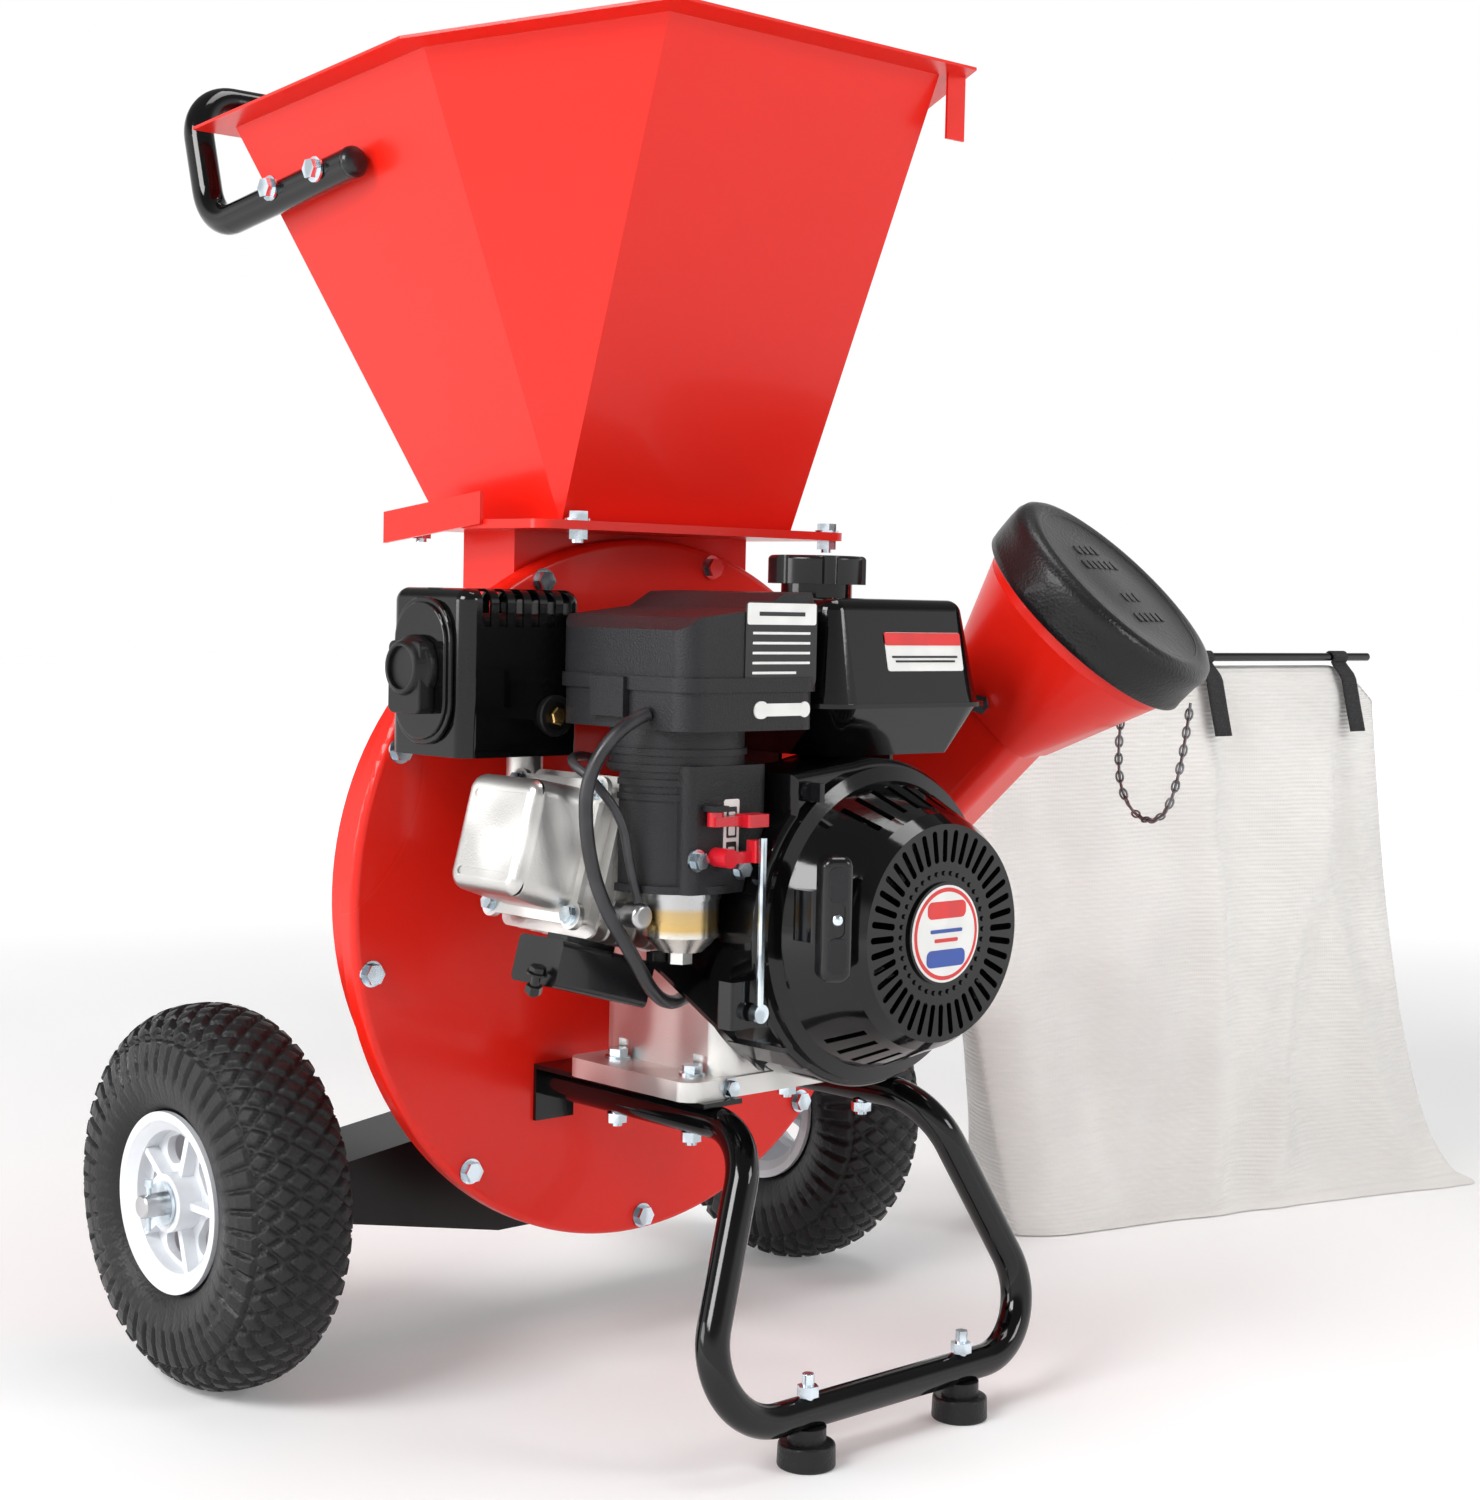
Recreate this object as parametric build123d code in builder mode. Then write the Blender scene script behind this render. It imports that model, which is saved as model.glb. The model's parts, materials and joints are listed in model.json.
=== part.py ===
from build123d import *
from math import cos, radians, sin, sqrt
import os

# A petrol wood chipper and shredder on two wheels, in millimetres.
# The engine's crankshaft drives the rotor in the red drum. Branches go in
# through the side chute, leaves through the top hopper, and chips leave by
# the side duct into the mesh bag. Every place below is given from the machine's
# own datum: x from the crank line towards the right wheel, y from the drum's
# front face towards the rear, z up from the floor. MID_X and FACE_Y then put
# that datum in the part's frame, whose origin is the middle of the footprint.

MID_X = -341.0
FACE_Y = 0.5

# ---- driving dimensions -------------------------------------------------
SHEET = 3.0                 # drum, throat and chute plate
CRANK_Z = 340.0             # crankshaft height
COVER_R = 251.0             # drum front cover, outside its rolled edge
COVER_SKIRT = 14.0          # depth of the rolled edge
PAN_R = 215.0               # drum housing wall, outside
PAN_BACK = 78.0             # rear face of the drum housing
BOLT_RING_R = 240.0
BOLT_ANGLES = (352, 34, 75.5, 114, 154, 190, 230.5, 271, 313)
M8, M6 = 8.0, 6.0           # bolt sizes

THROAT_HALF = 110.0         # feed throat, half its width
THROAT_Y = (16.0, 74.0)
DUCT_Y = (16.0, 74.0)       # discharge duct
DUCT_Z = (276.0, 394.0)
DUCT_END = 330.0
DUCT_LIP = 6.0

FLANGE_Z = 597.0            # joint face between throat and hopper
FLANGE_X, FLANGE_Y = 145.0, (-57.0, 125.0)
FLANGE_POINTS = [(-105, -46), (133, -46), (-130, 97), (130, 108)]
HOPPER_BASE_X, HOPPER_BASE_Y = 108.0, (-32.0, 104.0)
HOPPER_SHEET = 2.0
RIM_FRONT = (126.0, -154.0, 920.0)
RIM_SIDE = (207.0, -3.0, 906.0)
RIM_REAR_Y = 236.0
RIM_SLOPE = (RIM_SIDE[2] - RIM_FRONT[2]) / (RIM_SIDE[1] - RIM_FRONT[1])
RIM_LIP = 22.0
HANDLE_BOLTS = [(113, 837), (169, 830)]

CHUTE_ROOT = (172.0, 0.0, 312.0)
CHUTE_TOP = (245.0, -228.0, 562.0)
CHUTE_WIDE, CHUTE_HIGH, CHUTE_CORNER = 70.0, 80.0, 16.0
HOOD_START, HOOD_SHOULDER = 218.0, 305.0
HOOD_R = 80.0
CAP_R, CAP_DEEP = 92.0, 38.0

TUBE_R, TUBE_WALL = 11.0, 1.8
RAIL_X, RAIL_Z = 81.0, 209.0
LOOP_Z = 34.0
FOOT_X, FOOT_Y, FOOT_R = 73.0, -252.0, 19.0

WHEEL_X = 276.0             # wheel mid-plane
AXLE_Y, AXLE_Z, AXLE_R = 127.0, 132.5, 8.0
TYRE_R, TYRE_WIDE, TYRE_BEAD_R = 132.5, 84.0, 54.0
RIM_R, RIM_HALF = 62.0, 32.0
HUB_R, HUB_HALF = 20.0, 38.0

BASE_Z = 223.0              # underside of the engine's base
ENGINE_HOLES = [(x, y) for x in (-81, 81) for y in (-145.5, -70)]
CYL_TILT = 15.0             # cylinder axis above the horizontal, towards -x
CYL_Y = -118.0

CLEANER_X, CLEANER_Y = (-165.0, -52.0), (-228.0, -100.0)
CLEANER_Z = (468.0, 492.0)
TANK_X, TANK_Y, TANK_Z = (-44.0, 115.0), (-228.0, -45.0), 482.0
FUEL_CAP_AT = (12.0, -158.0)

BAG_TOP_Z = 497.0
BAG_CREST_X = 645.0         # where the bag's sloping shoulder reaches its top


# ---- helpers ------------------------------------------------------------
def at(x, y, z):
    """A point given from the machine's datum, in the part's frame."""
    return Vector(x + MID_X, y + FACE_Y, z)


def front(y, x=0.0, z=0.0):
    """Upright plane across the machine: sketch x to the right, y up, growing forwards."""
    return Plane(origin=at(x, y, z), x_dir=(1, 0, 0), z_dir=(0, -1, 0))


def side(x, y=0.0, z=0.0):
    """Upright plane along the machine: sketch x to the rear, y up, growing to the right."""
    return Plane(origin=at(x, y, z), x_dir=(0, 1, 0), z_dir=(1, 0, 0))


def level(z, x=0.0, y=0.0):
    """Level plane: sketch x to the right, y to the rear, growing upwards."""
    return Plane(origin=at(x, y, z), x_dir=(1, 0, 0), z_dir=(0, 0, 1))


def save(piece, name):
    """Labels a finished piece and writes its STEP file."""
    piece.part.label = name
    export_step(piece.part, f"parts/{name}.step")


def block(x, y, z, corner=0.0):
    """A box between two corners, its upright edges rounded."""
    with BuildPart() as box:
        with BuildSketch(level(z[0], (x[0] + x[1]) / 2, (y[0] + y[1]) / 2)):
            if corner:
                RectangleRounded(x[1] - x[0], y[1] - y[0], corner)
            else:
                Rectangle(x[1] - x[0], y[1] - y[0])
        extrude(amount=z[1] - z[0])
    return box.part


def rods(plane, points, radius, start, end):
    """Round rods square to a plane, one at each point, from height start to height end."""
    with BuildPart() as pins:
        with BuildSketch(plane.offset(start)):
            with Locations(*points):
                Circle(radius)
        extrude(amount=end - start)
    return pins.part


def bolts(plane, points, size, grip, nut=True):
    """Hex bolts with washers: heads on the plane, shanks back through the grip, nuts behind."""
    tail = grip + (size * 1.1 if nut else 0.0)
    with BuildPart() as screws:
        with BuildSketch(plane):
            with Locations(*points):
                Circle(size * 1.1)
        extrude(amount=size * 0.2)
        with BuildSketch(plane.offset(size * 0.2)):
            with Locations(*points):
                RegularPolygon(size * 0.9, 6)
        extrude(amount=size * 0.62)
        with BuildSketch(plane):
            with Locations(*points):
                Circle(size / 2)
        extrude(amount=-tail)
        if nut:
            with BuildSketch(plane.offset(-grip)):
                with Locations(*points):
                    RegularPolygon(size * 0.9, 6)
            extrude(amount=-size * 0.8)
    return screws.part


def turned(plane, outline):
    """A body of revolution: outline points are (along the plane's normal, radius)."""
    flat = Plane(origin=plane.origin, x_dir=plane.z_dir, z_dir=plane.x_dir.cross(plane.z_dir))
    with BuildPart() as round_part:
        with BuildSketch(flat):
            with BuildLine():
                Polyline(*[(a, -r) for a, r in outline], close=True)
            make_face()
        revolve(axis=Axis(plane.origin, plane.z_dir))
    return round_part.part


def spun(plane, angle):
    """The plane turned about its own normal."""
    return Plane(origin=plane.origin, x_dir=plane.x_dir.rotate(Axis((0, 0, 0), plane.z_dir), angle),
                 z_dir=plane.z_dir)


def on_circle(radius, angles):
    """Points on a circle, angles from sketch x."""
    return [(radius * cos(radians(a)), radius * sin(radians(a))) for a in angles]


def tube_along(points, radius, bend, wall=0.0):
    """A round tube along straight runs with rounded bends, hollow where a wall is given."""
    start = Vector(*points[0])
    with BuildPart() as pipe:
        with BuildLine() as run:
            FilletPolyline(*points, radius=bend)
        with BuildSketch(Plane(origin=start, z_dir=Vector(*points[1]) - start)):
            Circle(radius)
            if wall:
                Circle(radius - wall, mode=Mode.SUBTRACT)
        sweep(path=run.wires()[0], transition=Transition.ROUND)
    return pipe.part


os.makedirs("parts", exist_ok=True)
CRANK_FRONT = front(0, 0, CRANK_Z)
COVER_POINTS = on_circle(BOLT_RING_R, BOLT_ANGLES)

chute_axis = (Vector(*CHUTE_TOP) - Vector(*CHUTE_ROOT)).normalized()
chute_level = Vector(-chute_axis.Y, chute_axis.X, 0).normalized()
CHUTE_LENGTH = (Vector(*CHUTE_TOP) - Vector(*CHUTE_ROOT)).length
CHUTE = Plane(origin=at(*CHUTE_ROOT), x_dir=chute_level, z_dir=chute_axis)

# ---- drum ---------------------------------------------------------------
SHAFT_WINDOW_R = 62.0
with BuildPart() as chute_bore:
    with BuildSketch(CHUTE.offset(-90)):
        RectangleRounded(CHUTE_WIDE - 2 * SHEET, CHUTE_HIGH - 2 * SHEET, CHUTE_CORNER - SHEET)
    extrude(amount=CHUTE_LENGTH + 90)

with BuildPart() as drum_cover:
    with BuildSketch(front(COVER_SKIRT, 0, CRANK_Z)):
        Circle(COVER_R)
    extrude(amount=COVER_SKIRT)
    fillet(drum_cover.faces().sort_by(Axis.Y)[0].edges(), 5)
    with BuildSketch(front(COVER_SKIRT, 0, CRANK_Z)):
        Circle(COVER_R - SHEET)
    extrude(amount=COVER_SKIRT - SHEET, mode=Mode.SUBTRACT)
    add(rods(CRANK_FRONT, [(0, 0)], SHAFT_WINDOW_R, -9, 9), mode=Mode.SUBTRACT)
    add(rods(CRANK_FRONT, COVER_POINTS, M8 / 2 + 0.3, -9, 9), mode=Mode.SUBTRACT)
    add(chute_bore.part, mode=Mode.SUBTRACT)
save(drum_cover, "drum_cover")

with BuildPart() as drum_housing:
    add(turned(CRANK_FRONT, [(-SHEET, PAN_R - SHEET), (-SHEET, COVER_R - SHEET - 1),
                             (-2 * SHEET, COVER_R - SHEET - 1), (-2 * SHEET, PAN_R),
                             (-PAN_BACK, PAN_R), (-PAN_BACK, 0),
                             (SHEET - PAN_BACK, 0), (SHEET - PAN_BACK, PAN_R - SHEET)]))
    add(rods(CRANK_FRONT, COVER_POINTS, M8 / 2 + 0.3, -9, 0), mode=Mode.SUBTRACT)
    add(block((SHEET - THROAT_HALF, THROAT_HALF - SHEET), (THROAT_Y[0] + SHEET, THROAT_Y[1] - SHEET),
              (CRANK_Z + 120, CRANK_Z + PAN_R + 5)), mode=Mode.SUBTRACT)
    add(block((PAN_R - 60, PAN_R + 5), (DUCT_Y[0] + SHEET, DUCT_Y[1] - SHEET),
              (DUCT_Z[0] + SHEET, DUCT_Z[1] - SHEET)), mode=Mode.SUBTRACT)
save(drum_housing, "drum_housing")

pan_outside = turned(CRANK_FRONT, [(0, 0), (0, PAN_R), (-PAN_BACK, PAN_R), (-PAN_BACK, 0)])

with BuildPart() as feed_throat:
    add(block((-THROAT_HALF, THROAT_HALF), THROAT_Y, (CRANK_Z + 140, FLANGE_Z - SHEET)))
    add(block((-FLANGE_X, FLANGE_X), FLANGE_Y, (FLANGE_Z - SHEET, FLANGE_Z), 12))
    add(block((SHEET - THROAT_HALF, THROAT_HALF - SHEET), (THROAT_Y[0] + SHEET, THROAT_Y[1] - SHEET),
              (CRANK_Z + 130, FLANGE_Z + 1)), mode=Mode.SUBTRACT)
    add(pan_outside, mode=Mode.SUBTRACT)
    add(rods(level(FLANGE_Z), FLANGE_POINTS, M8 / 2 + 0.3, -9, 1), mode=Mode.SUBTRACT)
save(feed_throat, "feed_throat")

with BuildPart() as discharge_duct:
    add(block((PAN_R - 60, DUCT_END), DUCT_Y, DUCT_Z))
    add(block((DUCT_END - SHEET, DUCT_END), (DUCT_Y[0] - DUCT_LIP, DUCT_Y[1] + DUCT_LIP),
              (DUCT_Z[0] - DUCT_LIP, DUCT_Z[1] + DUCT_LIP)))
    add(block((PAN_R - 65, DUCT_END + 1), (DUCT_Y[0] + SHEET, DUCT_Y[1] - SHEET),
              (DUCT_Z[0] + SHEET, DUCT_Z[1] - SHEET)), mode=Mode.SUBTRACT)
    add(pan_outside, mode=Mode.SUBTRACT)
save(discharge_duct, "discharge_duct")

# ---- hopper -------------------------------------------------------------
# Six flat walls rise from a rectangular foot to a six-sided rim. The foot's
# front corners each carry one triangular wall.
foot_front = Vector(HOPPER_BASE_X, HOPPER_BASE_Y[0], FLANGE_Z)
foot_rear = Vector(HOPPER_BASE_X, HOPPER_BASE_Y[1], FLANGE_Z)
rim_front, rim_side = Vector(*RIM_FRONT), Vector(*RIM_SIDE)
rim_rear = Vector(0, RIM_REAR_Y, RIM_SIDE[2] + RIM_SLOPE * (RIM_REAR_Y - RIM_SIDE[1]))
side_lean = (RIM_SIDE[0] - HOPPER_BASE_X) / (RIM_SIDE[2] - FLANGE_Z)
rim_rear.X = HOPPER_BASE_X + side_lean * (rim_rear.Z - FLANGE_Z)


def wall_plane(a, b, c, inset):
    """The plane through three points, facing out of the hopper, moved in by inset."""
    normal = (b - a).cross(c - a).normalized()
    if normal.dot(a - Vector(0, 40, 760)) < 0:
        normal = -normal
    return Plane(origin=at(a.X, a.Y, a.Z) - normal * inset, z_dir=normal)


def mirrored(point):
    return Vector(-point.X, point.Y, point.Z)


def funnel(inset):
    """The solid inside the hopper's walls, each moved in by inset."""
    walls = [wall_plane(foot_front, mirrored(foot_front), rim_front, inset),
             wall_plane(foot_rear, mirrored(foot_rear), rim_rear, inset)]
    for point in (lambda p: p, mirrored):
        walls.append(wall_plane(point(foot_front), point(foot_rear), point(rim_side), inset))
        walls.append(wall_plane(point(foot_front), point(rim_front), point(rim_side), inset))
    walls.append(wall_plane(rim_front, mirrored(rim_front), rim_side, -inset * 0.5))
    with BuildPart() as inside:
        add(block((-260, 260), (-260, 300), (FLANGE_Z, 960)))
        for wall in walls:
            split(bisect_by=wall, keep=Keep.BOTTOM)
    return inside.part


rim_run = sqrt(1 + RIM_SLOPE ** 2)
RIM_PLANE = Plane(origin=at(0, 0, RIM_SIDE[2] - RIM_SLOPE * RIM_SIDE[1]), x_dir=(1, 0, 0),
                  z_dir=(0, -RIM_SLOPE, 1))
rim_outline = [(p.X, p.Y * rim_run) for p in
               (rim_rear, rim_side, rim_front, mirrored(rim_front), mirrored(rim_side), mirrored(rim_rear))]


def rim_face(grow):
    """The rim's six-sided outline, grown outwards."""
    with BuildSketch() as face:
        with BuildLine():
            Polyline(*rim_outline, close=True)
        make_face()
        offset(amount=grow, kind=Kind.INTERSECTION)
    return face.sketch


with BuildPart() as hopper:
    add(funnel(0))
    add(funnel(HOPPER_SHEET), mode=Mode.SUBTRACT)
    with BuildSketch(RIM_PLANE.offset(-HOPPER_SHEET)):
        add(rim_face(RIM_LIP))
        add(rim_face(-1.2), mode=Mode.SUBTRACT)
    extrude(amount=HOPPER_SHEET)
    add(block((129, 147), (-159, -157), (874, RIM_FRONT[2] - 0.5)))
    add(block((-FLANGE_X, FLANGE_X), FLANGE_Y, (FLANGE_Z, FLANGE_Z + SHEET), 12))
    with BuildSketch(side(-FLANGE_X - SHEET)):
        with BuildLine():
            Polyline((6, FLANGE_Z), (6, FLANGE_Z + 22), (118, FLANGE_Z + 9), (118, FLANGE_Z - 13), close=True)
        make_face()
    extrude(amount=SHEET + 0.01)
    foot_x, foot_y = HOPPER_BASE_X - SHEET, (HOPPER_BASE_Y[0] + SHEET, HOPPER_BASE_Y[1] - SHEET)
    add(block((-foot_x, foot_x), foot_y, (FLANGE_Z - 1, FLANGE_Z + SHEET)), mode=Mode.SUBTRACT)
    add(rods(level(FLANGE_Z), FLANGE_POINTS, M8 / 2 + 0.3, -1, 9), mode=Mode.SUBTRACT)
    add(rods(side(0), HANDLE_BOLTS, M8 / 2 + 0.3, -260, 260), mode=Mode.SUBTRACT)
save(hopper, "hopper")

HANDLE_X = 200.0
handle_left = [(-HANDLE_X, 86, 840.4), (-HANDLE_X - 1, 262, 812), (-HANDLE_X - 3, 288, 910)]
handle_right = [(-x, y, z) for x, y, z in reversed(handle_left)]
with BuildPart() as tow_handle:
    add(tube_along([at(*p) for p in handle_left + handle_right], TUBE_R, 32, TUBE_WALL))
    add(rods(side(0), HANDLE_BOLTS, M8 / 2 + 0.3, -260, 260), mode=Mode.SUBTRACT)
save(tow_handle, "tow_handle")

handle_bolt_left = Plane(origin=at(-HANDLE_X - TUBE_R - 0.5, 0, 0), x_dir=(0, -1, 0), z_dir=(-1, 0, 0))
handle_bolt_right = side(HANDLE_X + TUBE_R + 0.5)
with BuildPart() as hopper_bolts:
    add(bolts(level(FLANGE_Z + SHEET), FLANGE_POINTS, M8, 2 * SHEET))
    add(bolts(handle_bolt_left, [(-y, z) for y, z in HANDLE_BOLTS], M8, 30, nut=False))
    add(bolts(handle_bolt_right, HANDLE_BOLTS, M8, 30, nut=False))
save(hopper_bolts, "hopper_bolts")

# ---- chipper chute ------------------------------------------------------
HOOD_SEATS = [Plane(origin=CHUTE.offset(HOOD_START + 12).origin, x_dir=chute_axis,
                    z_dir=CHUTE.x_dir * sign) for sign in (-1, 1)]
behind_cover = block((0, 400), (0, 200), (100, 700))
with BuildPart() as chute_tube:
    with BuildSketch(CHUTE.offset(-90)):
        RectangleRounded(CHUTE_WIDE, CHUTE_HIGH, CHUTE_CORNER)
    extrude(amount=90 + HOOD_START + 25)
    add(chute_bore.part, mode=Mode.SUBTRACT)
    add(behind_cover, mode=Mode.SUBTRACT)
    for seat in HOOD_SEATS:
        add(rods(seat, [(0, 0)], M6 / 2 + 0.2, 20, 60), mode=Mode.SUBTRACT)
save(chute_tube, "chute_tube")


def hood_solid(grow, extra):
    """The flared hood: a rounded rectangle widening to a round mouth."""
    with BuildPart() as flare:
        with BuildSketch(CHUTE.offset(HOOD_START - extra)):
            RectangleRounded(CHUTE_WIDE + 7 + 2 * grow, CHUTE_HIGH + 7 + 2 * grow, CHUTE_CORNER + 3 + grow)
        with BuildSketch(CHUTE.offset(HOOD_SHOULDER)):
            RectangleRounded(2 * (HOOD_R + grow), 2 * (HOOD_R + grow), HOOD_R + grow - 0.5)
        loft()
        with BuildSketch(CHUTE.offset(HOOD_SHOULDER)):
            Circle(HOOD_R + grow)
        extrude(amount=CHUTE_LENGTH - 7 - HOOD_SHOULDER + extra)
    return flare.part


with BuildPart() as chute_hood:
    add(hood_solid(0, 0))
    add(hood_solid(-SHEET, 1), mode=Mode.SUBTRACT)
    for seat in HOOD_SEATS:
        add(rods(seat, [(0, 0)], M6 / 2 + 0.2, 20, 60), mode=Mode.SUBTRACT)
save(chute_hood, "chute_hood")

CAP_RIM = CHUTE.offset(CHUTE_LENGTH - CAP_DEEP + 6)
LOBES = 10
with BuildPart() as chute_cap:
    with BuildSketch(CAP_RIM):
        Circle(CAP_R - 2)
        with PolarLocations(CAP_R - 12, LOBES):
            Circle(13)
    extrude(amount=CAP_DEEP)
    fillet(chute_cap.faces().sort_by(Axis(CAP_RIM.origin, chute_axis))[-1].edges(), 4)
    with BuildSketch(CAP_RIM):
        Circle(HOOD_R + 0.5)
    extrude(amount=CAP_DEEP - 12.5, mode=Mode.SUBTRACT)
save(chute_cap, "chute_cap")


def free_run(points, radius):
    """A plain tube along a smooth line through hand-chosen points."""
    with BuildPart() as flex:
        with BuildLine() as run:
            Spline(*points)
        with BuildSketch(Plane(origin=run.line @ 0, z_dir=run.line % 0)):
            Circle(radius)
        sweep(path=run.wires()[0])
    return flex.part


# The chain that keeps the cap hangs in a slack loop from the hood to the cap.
CHAIN_R = 1.6
hood_low = CHUTE.offset(HOOD_SHOULDER - 30).origin + CHUTE.x_dir * 49 - CHUTE.y_dir * 54
cap_low = CHUTE.offset(CHUTE_LENGTH - 24).origin + CHUTE.x_dir * 30 - CHUTE.y_dir * 90.5
chain_points = [hood_low, hood_low + Vector(4, 8, -45), hood_low + Vector(6, -8, -78),
                cap_low + Vector(-10, 14, -88), cap_low + Vector(-3, 4, -50), cap_low]
with BuildPart() as cap_chain:
    add(free_run(chain_points, CHAIN_R))
save(cap_chain, "cap_chain")

# ---- frame, feet, axle --------------------------------------------------
half_loop = [(RAIL_X, -2, RAIL_Z), (RAIL_X + 3, -206, RAIL_Z), (170, FOOT_Y + 2, LOOP_Z)]
loop = [(-x, y, z) for x, y, z in half_loop] + half_loop[::-1]
foot_points = [(-FOOT_X, FOOT_Y), (FOOT_X, FOOT_Y)]
loop_bottom = rods(side(0, FOOT_Y + 2, LOOP_Z), [(0, 0)], TUBE_R, -110, 110)
RAIL_WIDE = 34.0
with BuildPart() as frame:
    add(tube_along([at(*p) for p in loop], TUBE_R, 46, TUBE_WALL))
    for rail_x in (-RAIL_X, RAIL_X):
        rail_edges = (rail_x - RAIL_WIDE / 2, rail_x + RAIL_WIDE / 2)
        add(block(rail_edges, (-176, -SHEET), (RAIL_Z + TUBE_R - 0.4, BASE_Z)))
        add(block(rail_edges, (-SHEET, 0), (RAIL_Z - 26, BASE_Z)))
    add(rods(level(LOOP_Z), foot_points, M8 / 2 + 0.3, -20, 20), mode=Mode.SUBTRACT)
    add(rods(level(RAIL_Z), ENGINE_HOLES, M8 / 2 + 0.3, -20, 20), mode=Mode.SUBTRACT)
save(frame, "frame")

FOOT_DISC, FOOT_HIGH = 16.0, LOOP_Z - 8
with BuildPart() as feet:
    with BuildSketch(level(0)):
        with Locations(*foot_points):
            Circle(FOOT_R)
    extrude(amount=FOOT_DISC, taper=2)
    fillet(feet.edges().filter_by(GeomType.CIRCLE), 2)
    with BuildSketch(level(FOOT_DISC)):
        with Locations(*foot_points):
            Circle(12.5)
    extrude(amount=FOOT_HIGH - FOOT_DISC)
    add(loop_bottom, mode=Mode.SUBTRACT)
    add(rods(level(0), foot_points, M8 / 2 + 0.2, -1, 60), mode=Mode.SUBTRACT)
    add(rods(level(0), foot_points, M8 + 1.5, -1, 8), mode=Mode.SUBTRACT)
save(feet, "feet")

with BuildPart() as frame_bolts:
    foot_top, foot_seat = LOOP_Z + TUBE_R, 8.0
    with BuildSketch(level(foot_seat - 5)):
        with Locations(*foot_points):
            RegularPolygon(M8 * 0.9, 6)
    extrude(amount=5)
    add(rods(level(0), foot_points, M8 / 2, foot_seat, foot_top + 15))
    with BuildSketch(level(foot_top)):
        with Locations(*foot_points):
            RegularPolygon(M8 * 0.9, 6)
    extrude(amount=7)
    fillet(frame_bolts.faces().sort_by(Axis.Z)[-1].edges(), 0.8)
    add(bolts(Plane(origin=at(0, 0, BASE_Z + 13), x_dir=(1, 0, 0), z_dir=(0, 0, 1)),
              ENGINE_HOLES, M8, 13 + SHEET + 2 * TUBE_R))
save(frame_bolts, "frame_bolts")

AXLE_END = WHEEL_X + HUB_HALF + 18
BRACKET_Y = (PAN_BACK, 152.0)
bracket_outline = [(-216, 151), (-66, 172), (66, 172), (216, 151),
                   (216, 113), (66, 84), (-66, 84), (-216, 113)]
with BuildPart() as axle_bracket:
    with BuildSketch(front(BRACKET_Y[1])):
        with BuildLine():
            Polyline(*bracket_outline, close=True)
        make_face()
    extrude(amount=BRACKET_Y[1] - BRACKET_Y[0])
    with BuildSketch(front(BRACKET_Y[1] + 1)):
        with BuildLine():
            Polyline(*bracket_outline, close=True)
        make_face()
        offset(amount=-4, kind=Kind.INTERSECTION)
    extrude(amount=BRACKET_Y[1] - BRACKET_Y[0] - 3, mode=Mode.SUBTRACT)
    add(rods(side(0, AXLE_Y, AXLE_Z), [(0, 0)], AXLE_R + 0.05, -260, 260), mode=Mode.SUBTRACT)
save(axle_bracket, "axle_bracket")

COTTER_X = AXLE_END - 6
with BuildPart() as axle:
    add(rods(side(0, AXLE_Y, AXLE_Z), [(0, 0)], AXLE_R, -AXLE_END, AXLE_END))
    chamfer(axle.edges().filter_by(GeomType.CIRCLE), 1)
    add(rods(level(AXLE_Z), [(-COTTER_X, AXLE_Y), (COTTER_X, AXLE_Y)], 2.0, -20, 20), mode=Mode.SUBTRACT)
save(axle, "axle")

with BuildPart() as axle_washers:
    for near, far in ((HUB_HALF + 0.6, HUB_HALF + 3.1), (-HUB_HALF - 3.1, -HUB_HALF - 0.6)):
        for sign in (-1, 1):
            start, end = sorted((sign * (WHEEL_X + near), sign * (WHEEL_X + far)))
            add(rods(side(0, AXLE_Y, AXLE_Z), [(0, 0)], 15, start, end))
    add(rods(side(0, AXLE_Y, AXLE_Z), [(0, 0)], AXLE_R + 0.02, -400, 400), mode=Mode.SUBTRACT)
save(axle_washers, "axle_washers")

with BuildPart() as cotter_pins:
    pin_points = [(-COTTER_X, AXLE_Y), (COTTER_X, AXLE_Y)]
    add(rods(level(AXLE_Z), pin_points, 1.8, -17, 13))
    with BuildSketch(level(AXLE_Z + 13)):
        with Locations(*pin_points):
            SlotOverall(8, 3.6, rotation=90)
    extrude(amount=5)
save(cotter_pins, "cotter_pins")

# ---- wheels -------------------------------------------------------------
TREAD_HALF = TYRE_WIDE / 2
SPOKES = 5
RIM_EDGE, DRUM_R = RIM_HALF + 1, TYRE_BEAD_R - 0.3
rim_seat = [(-RIM_EDGE - 4, RIM_R), (-RIM_EDGE, RIM_R), (4 - RIM_EDGE, DRUM_R),
            (RIM_EDGE - 4, DRUM_R), (RIM_EDGE, RIM_R), (RIM_EDGE + 4, RIM_R)]


def tyre(hub):
    """A pneumatic tyre, closed and full, seated on the rim between its flanges."""
    with BuildPart() as ring:
        with BuildSketch(Plane(origin=hub.origin, x_dir=hub.z_dir, z_dir=hub.x_dir)) as section:
            with BuildLine():
                Spline((-RIM_HALF + 4, -TYRE_BEAD_R), (-TREAD_HALF, -TYRE_R + 42), (-30, -TYRE_R + 6),
                       (0, -TYRE_R), (30, -TYRE_R + 6), (TREAD_HALF, -TYRE_R + 42),
                       (RIM_HALF - 4, -TYRE_BEAD_R))
                Line((RIM_HALF - 4, -TYRE_BEAD_R), (-RIM_HALF + 4, -TYRE_BEAD_R))
            make_face()
        revolve(axis=Axis(hub.origin, hub.z_dir))
        add(turned(hub, rim_seat + [(RIM_EDGE + 4, 0), (-RIM_EDGE - 4, 0)]), mode=Mode.SUBTRACT)
    return ring.part


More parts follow.
